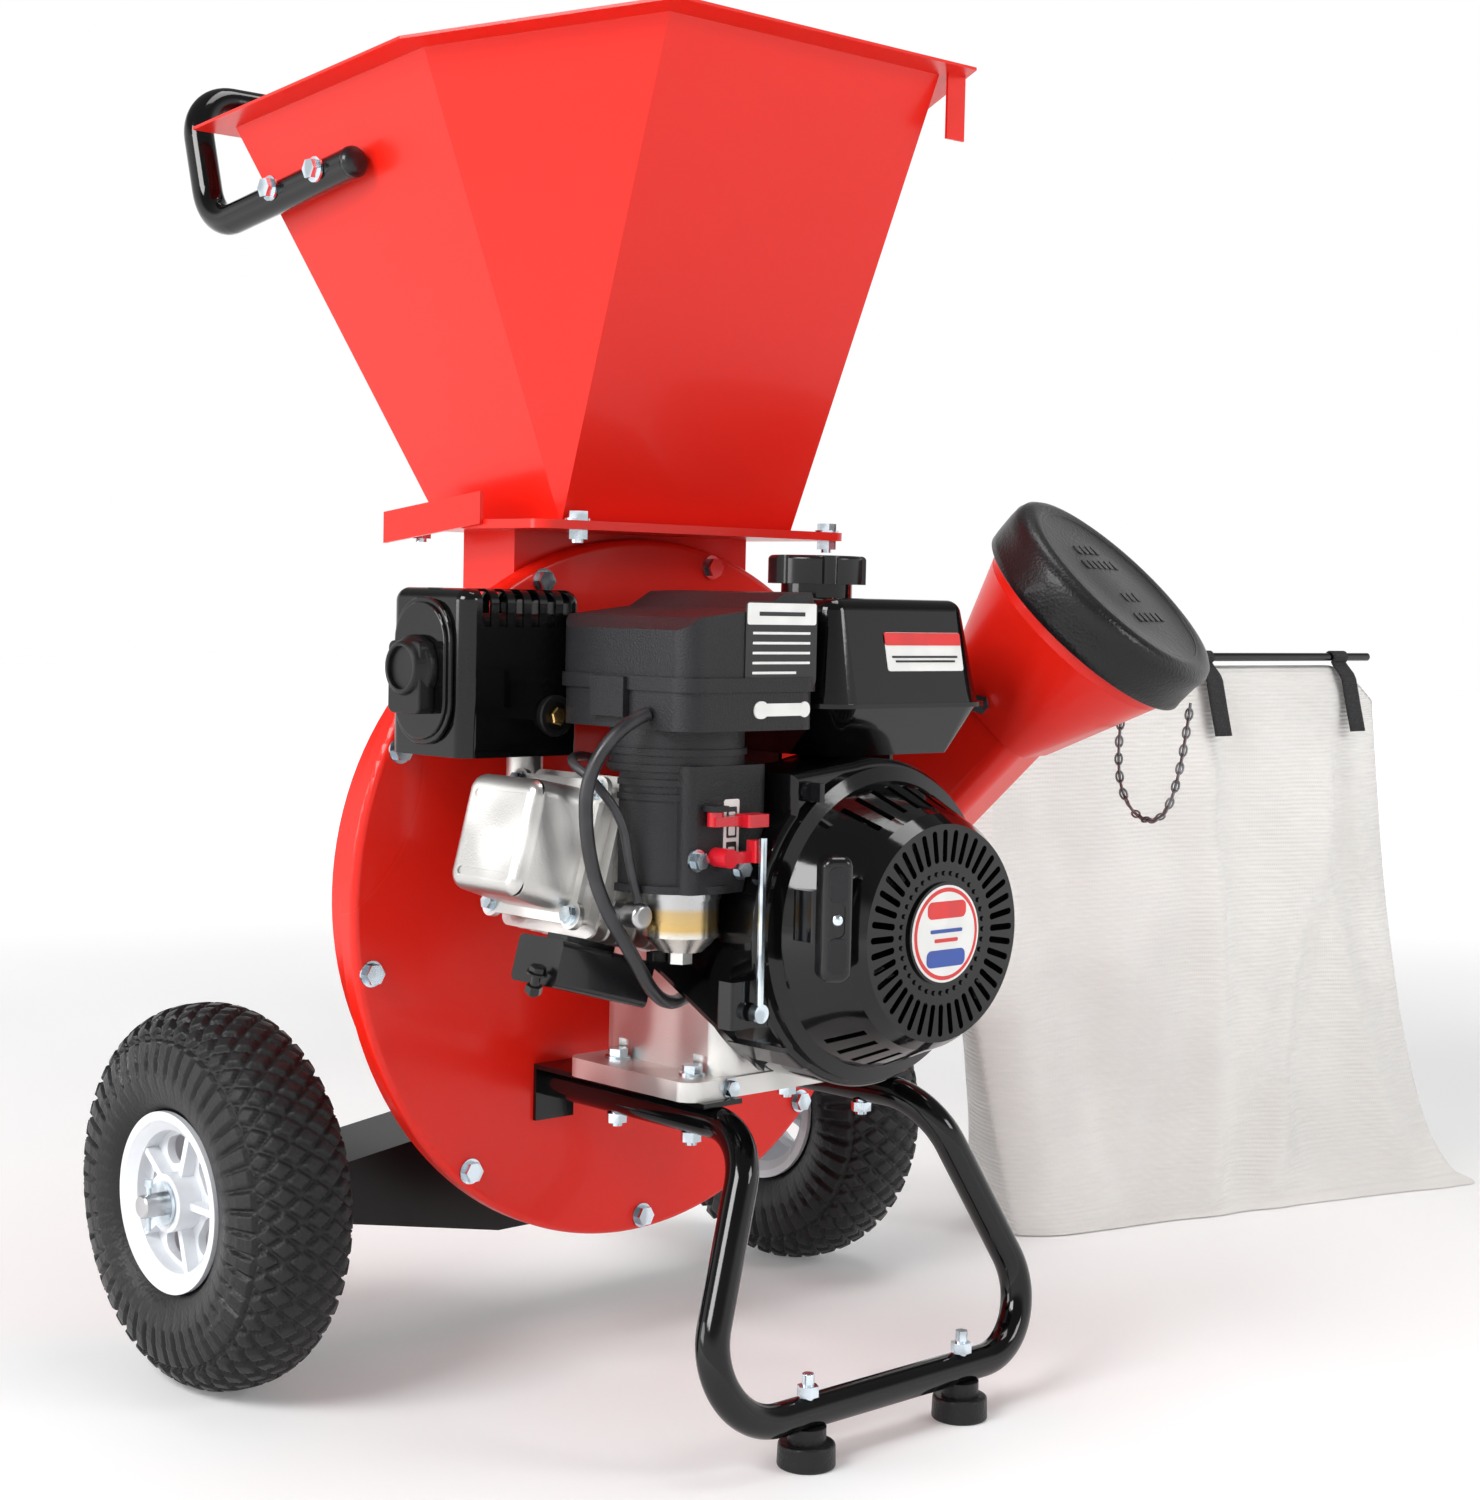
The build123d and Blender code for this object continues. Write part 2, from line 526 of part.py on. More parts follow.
def rim(hub, outward):
    """A moulded rim: a drum with two flanges, a hub, and spokes on its outer face."""
    inside_r = DRUM_R - 5
    barrel = rim_seat + [(RIM_EDGE + 4, RIM_R - 6), (RIM_EDGE - 2, inside_r),
                         (2 - RIM_EDGE, inside_r), (-RIM_EDGE - 4, RIM_R - 6)]
    web = 18 * outward
    with BuildPart() as wheel:
        add(turned(hub, barrel))
        add(rods(hub, [(0, 0)], HUB_R, -HUB_HALF, HUB_HALF))
        with BuildSketch(hub.offset(web - 3)):
            Circle(inside_r + 1)
            with PolarLocations(35, SPOKES):
                SlotOverall(30, 19, rotation=90, mode=Mode.SUBTRACT)
            Circle(HUB_R - 1, mode=Mode.SUBTRACT)
        extrude(amount=6)
        with BuildSketch(hub.offset(web - 3)):
            with PolarLocations(35, SPOKES, start_angle=180 / SPOKES):
                Rectangle(32, 5)
        extrude(amount=3 + 12 * outward)
        for end, grow in ((-HUB_HALF, 1), (HUB_HALF, -1)):
            add(rods(hub, [(0, 0)], BEARING_R, min(end, end + grow * BEARING_WIDE),
                     max(end, end + grow * BEARING_WIDE)), mode=Mode.SUBTRACT)
        add(rods(hub, [(0, 0)], AXLE_R + 2, -60, 60), mode=Mode.SUBTRACT)
    return wheel.part


BEARING_R, BEARING_WIDE = 14.0, 10.0


def bearings(hub):
    """The two bearings pressed into the hub's ends."""
    with BuildPart() as pair:
        for start in (-HUB_HALF, HUB_HALF - BEARING_WIDE):
            add(rods(hub, [(0, 0)], BEARING_R, start, start + BEARING_WIDE))
        add(rods(hub, [(0, 0)], AXLE_R + 0.05, -60, 60), mode=Mode.SUBTRACT)
    return pair.part


for wheel_name, wheel_x, outward in (("left", -WHEEL_X, -1), ("right", WHEEL_X, 1)):
    hub_plane = side(wheel_x, AXLE_Y, AXLE_Z)
    for piece_name, piece in (("tyre", tyre(hub_plane)), ("rim", rim(hub_plane, outward)),
                              ("bearings", bearings(hub_plane))):
        with BuildPart() as wheel_piece:
            add(piece)
        save(wheel_piece, f"{wheel_name}_{piece_name}")

# ---- engine: crankcase, cylinder, covers --------------------------------
CASE_X, CASE_Y, CASE_TOP = 74.0, (-168.0, -42.0), 418.0
DIPSTICK_AT = (-100.0, 261.0)
SHAFT_R = 12.5
cylinder_axis = Vector(-cos(radians(CYL_TILT)), 0, sin(radians(CYL_TILT)))
CYLINDER = Plane(origin=at(0, CYL_Y, CRANK_Z), x_dir=(0, 1, 0), z_dir=cylinder_axis)
HEAD_START, HEAD_END, ROCKER_END = 140.0, 190.0, 238.0


def along_cylinder(start, end, wide, high, corner=4.0):
    """A block square to the cylinder axis, between two distances from the crank."""
    with BuildPart() as lump:
        with BuildSketch(CYLINDER.offset(start)):
            RectangleRounded(wide, high, corner)
        extrude(amount=end - start)
    return lump.part


def fins(start, end, count, wide, high):
    """Thin cooling fins round the cylinder, evenly spaced along its axis."""
    pitch = (end - start) / count
    with BuildPart() as stack:
        for i in range(count):
            with BuildSketch(CYLINDER.offset(start + i * pitch)):
                RectangleRounded(wide, high, 8)
            extrude(amount=2.2)
    return stack.part


with BuildPart() as crankcase:
    add(block((-CASE_X, CASE_X), CASE_Y, (BASE_Z + 10, CASE_TOP), 16))
    fillet(crankcase.faces().sort_by(Axis.Z)[-1].edges(), 12)
    add(block((-106, 106), (-170, -44), (BASE_Z, BASE_Z + 13), 12))
    for lug_x, lug_y in ENGINE_HOLES:
        add(rods(level(BASE_Z), [(lug_x, lug_y)], 13, 0, 13))
    add(along_cylinder(50, HEAD_START, 74, 80))
    add(fins(80, HEAD_START - 3, 6, 92, 98))
    add(rods(CRANK_FRONT, [(0, 0)], 62, 50, 160), mode=Mode.SUBTRACT)
    add(rods(CRANK_FRONT, [(0, 0)], SHAFT_R + 4, 40, 180), mode=Mode.SUBTRACT)
    add(rods(CYLINDER, [(0, 0)], 30, 30, HEAD_START + 1), mode=Mode.SUBTRACT)
    add(rods(level(BASE_Z), ENGINE_HOLES, M8 / 2 + 0.3, -1, 20), mode=Mode.SUBTRACT)
    add(rods(level(BASE_Z + 13), ENGINE_HOLES, M8 + 2, 0, 12), mode=Mode.SUBTRACT)
    add(rods(side(CASE_X, *DIPSTICK_AT), [(0, 0)], 9, -42, 2), mode=Mode.SUBTRACT)
save(crankcase, "crankcase")

cover_outline = turned(CRANK_FRONT, [(0.5, SHAFT_R + 4), (0.5, 50), (20, 58),
                                     (30, 72), (42, 72), (42, SHAFT_R + 4)])
PTO_BOLTS = on_circle(66, range(20, 360, 60))
with BuildPart() as crankcase_cover:
    add(cover_outline)
    add(rods(CRANK_FRONT, PTO_BOLTS, 6, 30, 42))
save(crankcase_cover, "crankcase_cover")

PORT_AT, PORT_BASE = (-158.0, -60.0), 380.0
INTAKE = front(-140, -146, 385)
PLUG = front(-150, -168, 352)
GUARD_X, GUARD_Y, GUARD_Z = (-236.0, -140.0), (-96.0, -16.0), (446.0, 553.0)
MUFFLER_LOW = GUARD_Z[0] + 6
with BuildPart() as cylinder_head:
    add(along_cylinder(HEAD_START, HEAD_END, 78, 88))
    add(fins(HEAD_START + 4, HEAD_END - 4, 4, 94, 104))
    add(rods(level(PORT_BASE, *PORT_AT), [(0, 0)], 12, 0, MUFFLER_LOW - PORT_BASE))
    add(rods(INTAKE, [(0, 0)], 11, 0, 31))
    add(rods(CYLINDER, [(0, 0)], 30, HEAD_START - 1, HEAD_START + 16), mode=Mode.SUBTRACT)
    add(rods(level(PORT_BASE, *PORT_AT), [(0, 0)], 8, 40, 80), mode=Mode.SUBTRACT)
    add(rods(PLUG, [(0, 0)], 7, -8, 40), mode=Mode.SUBTRACT)
save(cylinder_head, "cylinder_head")

ROCKER_BOLTS = [(x, y) for x in (-40, 40) for y in (-40, 40)]
with BuildPart() as valve_cover:
    with BuildSketch(CYLINDER.offset(HEAD_END)):
        RectangleRounded(88, 92, 10)
        with Locations(*ROCKER_BOLTS):
            Circle(9)
    extrude(amount=4)
    with BuildSketch(CYLINDER.offset(HEAD_END + 4)):
        RectangleRounded(76, 80, 14)
    extrude(amount=ROCKER_END - HEAD_END - 4, taper=4)
    fillet(valve_cover.faces().sort_by(Axis(CYLINDER.origin, cylinder_axis))[-1].edges(), 9)
    with BuildSketch(CYLINDER.offset(HEAD_END)):
        RectangleRounded(70, 74, 10)
    extrude(amount=ROCKER_END - HEAD_END - 6, mode=Mode.SUBTRACT)
    with BuildSketch(CYLINDER.offset(ROCKER_END - 1.2)):
        with Locations((0, 26), (0, -24)):
            SlotOverall(50, 5)
    extrude(amount=2, mode=Mode.SUBTRACT)
    add(rods(CYLINDER, ROCKER_BOLTS, M6 / 2 + 0.2, HEAD_END - 1, HEAD_END + 5), mode=Mode.SUBTRACT)
save(valve_cover, "valve_cover")

# ---- exhaust ------------------------------------------------------------
with BuildPart() as muffler:
    add(block((GUARD_X[0] + 6, GUARD_X[1] - 6), (GUARD_Y[0] + 6, GUARD_Y[1] - 6),
              (MUFFLER_LOW, GUARD_Z[1] - 16), 18))
    fillet(muffler.faces().sort_by(Axis.Z)[-1].edges(), 8)
    add(rods(side(GUARD_X[0], -60, 500), [(0, 0)], 15, -12, 8))
    add(rods(side(GUARD_X[0], -60, 500), [(0, 0)], 12, -13, 6), mode=Mode.SUBTRACT)
save(muffler, "muffler")

with BuildPart() as guard_inside:
    add(block((GUARD_X[0] + 2, GUARD_X[1] - 2), (GUARD_Y[0] + 2, GUARD_Y[1] - 2),
              (GUARD_Z[0] - 1, GUARD_Z[1] - 2), 8))
    fillet(guard_inside.faces().sort_by(Axis.Z)[-1].edges(), 7)

with BuildPart() as muffler_guard:
    add(block(GUARD_X, GUARD_Y, GUARD_Z, 10))
    fillet(muffler_guard.faces().sort_by(Axis.Z)[-1].edges(), 9)
    add(guard_inside.part, mode=Mode.SUBTRACT)
    with BuildSketch(side(GUARD_X[0] - 4, -58, 500)):
        SlotOverall(84, 48, rotation=90)
    extrude(amount=10, mode=Mode.SUBTRACT)
    for i in range(6):
        slot_x = GUARD_X[0] + 14 + i * 13
        add(block((slot_x, slot_x + 7), (GUARD_Y[0] - 2, GUARD_Y[1] + 2), (GUARD_Z[1] - 24, GUARD_Z[1] + 2)),
            mode=Mode.SUBTRACT)
    add(block((GUARD_X[0] + 5, GUARD_X[1] - 5), (GUARD_Y[0] + 34, GUARD_Y[1] - 34),
              (GUARD_Z[1] - 2, GUARD_Z[1])))
save(muffler_guard, "muffler_guard")

# ---- intake: air cleaner, elbow, carburettor ----------------------------
ELBOW_AT, ELBOW_R = (-124.0, -172.0), 43.0
ELBOW_Z = (366.0, CLEANER_Z[0])
with BuildPart() as air_cleaner_base:
    add(block(CLEANER_X, CLEANER_Y, CLEANER_Z, 16))
    add(block((CLEANER_X[0] + 3, CLEANER_X[1] - 3), (CLEANER_Y[0] + 3, CLEANER_Y[1] - 3),
              (CLEANER_Z[0] + 3, CLEANER_Z[1] + 1), 13), mode=Mode.SUBTRACT)
    add(rods(level(CLEANER_Z[0], *ELBOW_AT), [(0, 0)], 16, -1, 5), mode=Mode.SUBTRACT)
save(air_cleaner_base, "air_cleaner_base")

with BuildPart() as air_filter:
    add(block((CLEANER_X[0] + 10, CLEANER_X[1] - 10), (CLEANER_Y[0] + 10, CLEANER_Y[1] - 10),
              (CLEANER_Z[0] + 3, CLEANER_Z[1] + 34), 12))
    add(rods(level(CLEANER_Z[0], *ELBOW_AT), [(0, 0)], 18, 0, 40), mode=Mode.SUBTRACT)
save(air_filter, "air_filter")

lid_profile = [(CLEANER_X[0], CLEANER_Z[1]), (CLEANER_X[0], 530), (-156, 538), (-104, 544),
               (-86, 554), (-62, 555), (CLEANER_X[1], 545), (CLEANER_X[1], CLEANER_Z[1])]
with BuildPart() as air_cleaner_lid:
    with BuildSketch(front(CLEANER_Y[1])):
        with BuildLine():
            Polyline(*lid_profile, close=True)
        make_face()
    extrude(amount=CLEANER_Y[1] - CLEANER_Y[0])
    fillet(air_cleaner_lid.edges().filter_by(Axis.Z), 14)
    lip_z = CLEANER_Z[1]
    add(block((CLEANER_X[0] - 2, CLEANER_X[1] + 2), (CLEANER_Y[0] - 2, CLEANER_Y[1] + 2),
              (lip_z + 0.2, lip_z + 9), 16))
    add(block((CLEANER_X[0] + 4, CLEANER_X[1] - 4), (CLEANER_Y[0] + 4, CLEANER_Y[1] - 4),
              (CLEANER_Z[1] - 1, CLEANER_Z[1] + 35), 12), mode=Mode.SUBTRACT)
    add(block((CLEANER_X[0] - 5, CLEANER_X[0] - 0.4), (-172, -140), (lip_z - 17, lip_z + 8)))
save(air_cleaner_lid, "air_cleaner_lid")

CONTROL_Y, CONTROL_FACE = -220.0, -216.0
CHOKE_Z, FUEL_Z = 412.0, 392.0
SHROUD_R = 108.0
with BuildPart() as intake_elbow:
    add(rods(level(ELBOW_Z[0], *ELBOW_AT), [(0, 0)], ELBOW_R, 0, ELBOW_Z[1] - ELBOW_Z[0]))
    add(block((-152, -84), (CONTROL_FACE, -140), (ELBOW_Z[0], 446), 8))
    add(block((-141, -129), (CONTROL_Y - 7, CONTROL_FACE + 1), (CHOKE_Z + 6.4, CHOKE_Z + 10)))
    for ring_z in (424, 433, 442, 452):
        add(rods(level(ring_z, *ELBOW_AT), [(0, 0)], ELBOW_R + 1.6, 0, 4))
    add(rods(level(ELBOW_Z[0], *ELBOW_AT), [(0, 0)], ELBOW_R + 2.5, 0, 5))
    add(block((-148, -108), (-203, -168), (ELBOW_Z[0] - 1, ELBOW_Z[1] - 14), 6), mode=Mode.SUBTRACT)
    add(block((-200, -60), (-166, -100), (ELBOW_Z[0] - 1, 440.5)), mode=Mode.SUBTRACT)
    add(rods(INTAKE, [(0, 0)], 11.2, 0, 31.5), mode=Mode.SUBTRACT)
    add(rods(CRANK_FRONT, [(0, 0)], SHROUD_R + 1, 100, 240), mode=Mode.SUBTRACT)
    add(rods(level(ELBOW_Z[0], *ELBOW_AT), [(0, 0)], 16, 40, 110), mode=Mode.SUBTRACT)
save(intake_elbow, "intake_elbow")

CARB_AT, BOWL_AT = (-128.0, -186.0), (-134.0, -190.0)
with BuildPart() as carburettor:
    carb_edges = [(middle - half, middle + half) for middle, half in zip(CARB_AT, (18, 15))]
    add(block(*carb_edges, (ELBOW_Z[0], 410), 5))
    add(rods(level(410, *CARB_AT), [(0, 0)], 14, 0, 30))
    add(rods(level(0, *BOWL_AT), [(0, 0)], 24, 342, ELBOW_Z[0]))
    add(rods(level(0, *BOWL_AT), [(0, 0)], 25.3, ELBOW_Z[0] - 4, ELBOW_Z[0]))
    add(turned(level(0, *BOWL_AT), [(342, 0), (342, 24), (338, 24), (328, 14), (328, 0)]))
    with BuildSketch(level(320, *BOWL_AT)):
        RegularPolygon(8, 6)
    extrude(amount=8)
save(carburettor, "carburettor")

with BuildPart() as choke_lever:
    add(block((-139, -104), (CONTROL_Y - 6, CONTROL_Y + 2), (CHOKE_Z - 3, CHOKE_Z + 3)))
    add(block((-116, -98), (CONTROL_Y - 12, CONTROL_Y + 2), (CHOKE_Z - 4, CHOKE_Z + 4), 2))
    add(rods(level(CHOKE_Z, -135, CONTROL_Y - 1), [(0, 0)], 5, -3, 6))
save(choke_lever, "choke_lever")

with BuildPart() as fuel_lever:
    add(block((-134, -106), (CONTROL_Y - 10, CONTROL_Y - 4.5), (FUEL_Z - 6, FUEL_Z + 1)))
    add(block((-112, -101.5), (CONTROL_Y - 14, CONTROL_Y - 4.5), (FUEL_Z - 6, FUEL_Z + 8), 1.5))
    add(rods(front(CONTROL_FACE, -130, FUEL_Z - 2.5), [(0, 0)], 6, 0.3, 15))
save(fuel_lever, "fuel_lever")

# ---- fan shroud, recoil starter, switch ---------------------------------
SHROUD_Y = (-232.0, -176.0)
THROTTLE_AT = (-110.0, 292.0)


def shroud_face(inset):
    """The shroud's outline: a round fan housing with a wedge towards the cylinder."""
    with BuildSketch(front(SHROUD_Y[1])) as face:
        with Locations((0, CRANK_Z)):
            Circle(SHROUD_R - inset)
        with BuildLine():
            Polyline((0, 232 + inset), (-62, 250 + inset), (inset - 78, 262 + inset * 0.5),
                     (inset - 78, 440 - inset), (0, 448 - inset), close=True)
        make_face()
    return face.sketch


with BuildPart() as fan_shroud:
    extrude(shroud_face(0), amount=SHROUD_Y[1] - SHROUD_Y[0])
    fillet(fan_shroud.faces().sort_by(Axis.Y)[0].edges(), 5)
    extrude(shroud_face(3), amount=SHROUD_Y[1] - SHROUD_Y[0] - 3, mode=Mode.SUBTRACT)
    add(rods(CRANK_FRONT, [(0, 0)], 84, 180, 240), mode=Mode.SUBTRACT)
    with BuildSketch(front(SHROUD_Y[1])):
        with BuildLine():
            Polyline((-150, 321), (-50, 240), (-50, 262), (-130, 327), (-150, 327), close=True)
        make_face()
    extrude(amount=6)
    add(turned(CRANK_FRONT, [(168, 82), (168, SHROUD_R), (176, SHROUD_R), (176, SHROUD_R - 3),
                             (172, SHROUD_R - 3), (172, 82)]))
    add(block((-107, 107), (-176, -160), (220, BASE_Z + 13.2)), mode=Mode.SUBTRACT)
    add(block((-128, -95), (SHROUD_Y[0], SHROUD_Y[0] + 14), (282, 312), 2))
    add(rods(front(SHROUD_Y[0], *THROTTLE_AT), [(0, 0)], 5, -1, 2.2))
save(fan_shroud, "fan_shroud")

RECOIL_Y = -SHROUD_Y[0]
GRIP_AT, GRIP_PULL = at(-86.5, -276, 355), Vector(-0.5, -sqrt(0.75), 0)
SLOTS = 40
with BuildPart() as recoil_cover:
    add(turned(CRANK_FRONT, [(RECOIL_Y, 80), (RECOIL_Y, 103), (RECOIL_Y + 5, 103), (RECOIL_Y + 8, 94),
                             (RECOIL_Y + 50, 76), (291, 70), (291, 0), (288, 0), (288, 67),
                             (RECOIL_Y + 50, 72), (RECOIL_Y + 6, 90)]))
    with BuildSketch(CRANK_FRONT.offset(286)):
        with PolarLocations(56, SLOTS):
            SlotOverall(21, 4.2)
    extrude(amount=10, mode=Mode.SUBTRACT)
    for slot_angle in [*range(50, 131, 9), *range(230, 311, 9)]:
        with BuildSketch(spun(CRANK_FRONT.offset(RECOIL_Y + 28), slot_angle)):
            with Locations((84, 0)):
                Rectangle(30, 4.5)
        extrude(amount=14, both=True, mode=Mode.SUBTRACT)
    add(rods(CRANK_FRONT, [(0, 0)], 6, 250, 290))
    add(rods(CRANK_FRONT, [(0, 0)], 33, 288, 293))
    add(rods(CRANK_FRONT, on_circle(38.5, range(0, 360, 10)), 1.6, 290, 292.2))
    add(block((-92, -70), (-268, -246), (338, 370), 4))
    add(turned(CRANK_FRONT, [(RECOIL_Y - 1, 0), (RECOIL_Y - 1, 79), (RECOIL_Y + 5, 89), (RECOIL_Y + 49, 71),
                             (287.9, 66), (287.9, 0)]), mode=Mode.SUBTRACT)
    add(rods(CRANK_FRONT, [(0, 0)], 6, 250, 290))
    add(rods(front(0, -84, 355), [(0, 0)], 4, 240, 275), mode=Mode.SUBTRACT)
save(recoil_cover, "recoil_cover")

with BuildPart() as starter_pulley:
    add(turned(CRANK_FRONT, [(252, 6.05), (252, 34), (256, 30), (264, 30), (268, 34), (268, 6.05)]))
save(starter_pulley, "starter_pulley")

with BuildPart() as pull_handle:
    grip = Plane(origin=GRIP_AT, x_dir=(0.5 * sqrt(3), -0.5, 0), z_dir=GRIP_PULL)
    with BuildSketch(grip):
        RectangleRounded(20, 78, 7)
    extrude(amount=16)
    fillet(pull_handle.faces().sort_by(Axis(grip.origin, GRIP_PULL))[-1].edges(), 5)
    with BuildSketch(grip.offset(-7)):
        Circle(3)
    extrude(amount=8)
    with BuildSketch(grip.offset(15)):
        SlotOverall(22, 9, rotation=90)
    extrude(amount=2, mode=Mode.SUBTRACT)
save(pull_handle, "pull_handle")

ROD_X, ROD_Y = THROTTLE_AT[0], -238.5
with BuildPart() as throttle_lever:
    add(block((ROD_X - 2.5, ROD_X + 2.5), (ROD_Y - 2, ROD_Y + 2), (288, 402), 1.5))
    add(rods(front(ROD_Y + 4, *THROTTLE_AT), [(0, 0)], 6, 0, 6))
save(throttle_lever, "throttle_lever")

SWITCH_AT = (-66.0, 429.0)
with BuildPart() as engine_switch:
    add(rods(front(SHROUD_Y[0], *SWITCH_AT), [(0, 0)], 6.5, 0.3, 5))
    add(block((SWITCH_AT[0] - 2, SWITCH_AT[0] + 2), (SHROUD_Y[0] - 14, SHROUD_Y[0] - 4),
              (SWITCH_AT[1] - 6, SWITCH_AT[1] + 6), 1))
save(engine_switch, "engine_switch")

with BuildPart() as ignition_module:
    module = Plane(origin=at(-178, -140, 314), x_dir=(0, 1, 0), z_dir=cylinder_axis)
    with BuildSketch(module.offset(-46)):
        RectangleRounded(44, 30, 4)
    extrude(amount=78)
    with BuildSketch(module.offset(-20)):
        with Locations((0, -17)):
            Rectangle(20, 4)
    extrude(amount=40)
    add(bolts(Plane(origin=module.origin + cylinder_axis * 42 - Vector(0, 12, 9), z_dir=(0, -0.3, 1)),
              [(0, 0)], M6, 8))
save(ignition_module, "ignition_module")

# ---- fuel tank and cap --------------------------------------------------
TANK_TOP, TANK_DEEP = 552.0, 34.0
tank_corner = 26.0
tank_wide, tank_long = TANK_X[1] - TANK_X[0], TANK_Y[1] - TANK_Y[0]
tank_mid = ((TANK_X[0] + TANK_X[1]) / 2, (TANK_Y[0] + TANK_Y[1]) / 2)
with BuildPart() as fuel_tank:
    with BuildSketch(level(TANK_Z, *tank_mid)):
        RectangleRounded(tank_wide, tank_long, tank_corner)
    extrude(amount=TANK_TOP - TANK_Z, taper=12)
    fillet(fuel_tank.faces().sort_by(Axis.Z)[-1].edges(), 10)
    with BuildSketch(level(TANK_Z, *tank_mid)):
        RectangleRounded(tank_wide, tank_long, tank_corner)
    extrude(amount=-TANK_DEEP, taper=32)
    with BuildSketch(level(TANK_Z - 1.5, *tank_mid)):
        RectangleRounded(tank_wide + 10, tank_long + 4, tank_corner + 2)
    extrude(amount=3)
    add(rods(level(TANK_TOP, *FUEL_CAP_AT), [(0, 0)], 24, -8, 12))
    add(rods(level(TANK_TOP, *FUEL_CAP_AT), [(0, 0)], 20, -9, 13), mode=Mode.SUBTRACT)
    with BuildSketch(level(TANK_Z, *tank_mid)):
        RectangleRounded(tank_wide - 6, tank_long - 6, tank_corner - 3)
    extrude(amount=TANK_TOP - TANK_Z - 3, taper=12, mode=Mode.SUBTRACT)
save(fuel_tank, "fuel_tank")

with BuildPart() as fuel_cap:
    cap_plane = level(TANK_TOP, *FUEL_CAP_AT)
    with BuildSketch(cap_plane.offset(9)):
        Circle(33)
    extrude(amount=19)
    fillet(fuel_cap.faces().sort_by(Axis.Z)[-1].edges(), 3)
    with BuildSketch(cap_plane.offset(8)):
        with PolarLocations(35.5, 6):
            Circle(6)
    extrude(amount=21, mode=Mode.SUBTRACT)
    with BuildSketch(cap_plane.offset(9)):
        Circle(24.4)
    extrude(amount=14, mode=Mode.SUBTRACT)
save(fuel_cap, "fuel_cap")

with BuildPart() as tank_bracket:
    add(block((-20, 91), (-160, -75), (CASE_TOP, CASE_TOP + 3), 1))
    for leg_x in (-20, 88):
        add(block((leg_x, leg_x + 3), (-158, -77), (CASE_TOP, TANK_Z - TANK_DEEP)))
save(tank_bracket, "tank_bracket")

# ---- running gear: crankshaft, rotor, flywheel --------------------------
DISC_R, DISC_Y, DISC_THICK = 196.0, 30.0, 10.0
KNIFE_SLOTS = (20, 200)
HAMMER_ANGLES = (75, 125, 255, 305)
HUB_LONG = 26.0
with BuildPart() as crankshaft:
    add(rods(CRANK_FRONT, [(0, 0)], SHAFT_R, -DISC_Y - 34, 240))
    add(rods(CRANK_FRONT, [(0, 0)], 44, 80, 92))
    add(rods(CRANK_FRONT, [(0, 0)], 44, 128, 140))
    add(rods(CRANK_FRONT, [(0, 0)], 9, 240, 246))
    chamfer(crankshaft.faces().sort_by(Axis.Y)[-1].edges(), 1.5)
save(crankshaft, "crankshaft")

with BuildPart() as rotor_disc:
    add(rods(CRANK_FRONT, [(0, 0)], DISC_R, -DISC_Y - DISC_THICK, -DISC_Y))
    add(rods(CRANK_FRONT, [(0, 0)], 32, -DISC_Y - DISC_THICK - HUB_LONG + 8, -DISC_Y + 8))
    with BuildSketch(CRANK_FRONT.offset(-DISC_Y - DISC_THICK - 1)):
        with PolarLocations(140, 2, start_angle=KNIFE_SLOTS[0] + 10):
            SlotOverall(96, 22)
    extrude(amount=DISC_THICK + 2, mode=Mode.SUBTRACT)
    add(rods(CRANK_FRONT, [(0, 0)], SHAFT_R + 0.02, -90, 0), mode=Mode.SUBTRACT)
save(rotor_disc, "rotor_disc")

KNIFE_LONG, KNIFE_WIDE, KNIFE_THICK = 100.0, 34.0, 6.0
with BuildPart() as chipper_knives:
    with BuildSketch(CRANK_FRONT.offset(-DISC_Y)):
        with PolarLocations(140, 2, start_angle=KNIFE_SLOTS[0] - 3):
            Rectangle(KNIFE_LONG, KNIFE_WIDE - 10)
    extrude(amount=KNIFE_THICK)
    chamfer(chipper_knives.faces().sort_by(Axis.Y)[0].edges().sort_by(SortBy.LENGTH)[-1], 3)
    with BuildSketch(CRANK_FRONT.offset(-DISC_Y + KNIFE_THICK)):
        with PolarLocations(140, 2, start_angle=KNIFE_SLOTS[0] - 3):
            with GridLocations(60, 1, 2, 1):
                Circle(5)
    extrude(amount=2)
save(chipper_knives, "chipper_knives")

with BuildPart() as shredder_blades:
    with BuildSketch(CRANK_FRONT.offset(-DISC_Y - DISC_THICK)):
        with Locations(*on_circle(150, HAMMER_ANGLES)):
            Circle(9)
    extrude(amount=-24)
    for blade_angle in HAMMER_ANGLES:
        with BuildSketch(spun(CRANK_FRONT.offset(-DISC_Y - DISC_THICK - 10), blade_angle)):
            with Locations((164, 0)):
                SlotOverall(58, 22)
        extrude(amount=-6)
save(shredder_blades, "shredder_blades")

with BuildPart() as flywheel:
    add(turned(CRANK_FRONT, [(180, 0), (180, 78), (192, 96), (200, 96), (200, 0)]))
    with BuildSketch(CRANK_FRONT.offset(200)):
        with PolarLocations(74, 16):
            Rectangle(36, 3)
        Circle(38)
    extrude(amount=20)
    add(turned(CRANK_FRONT, [(240, 0), (240, 24), (215, 30), (215, 0)]))
    add(rods(CRANK_FRONT, [(0, 0)], SHAFT_R + 0.02, 170, 241), mode=Mode.SUBTRACT)
save(flywheel, "flywheel")

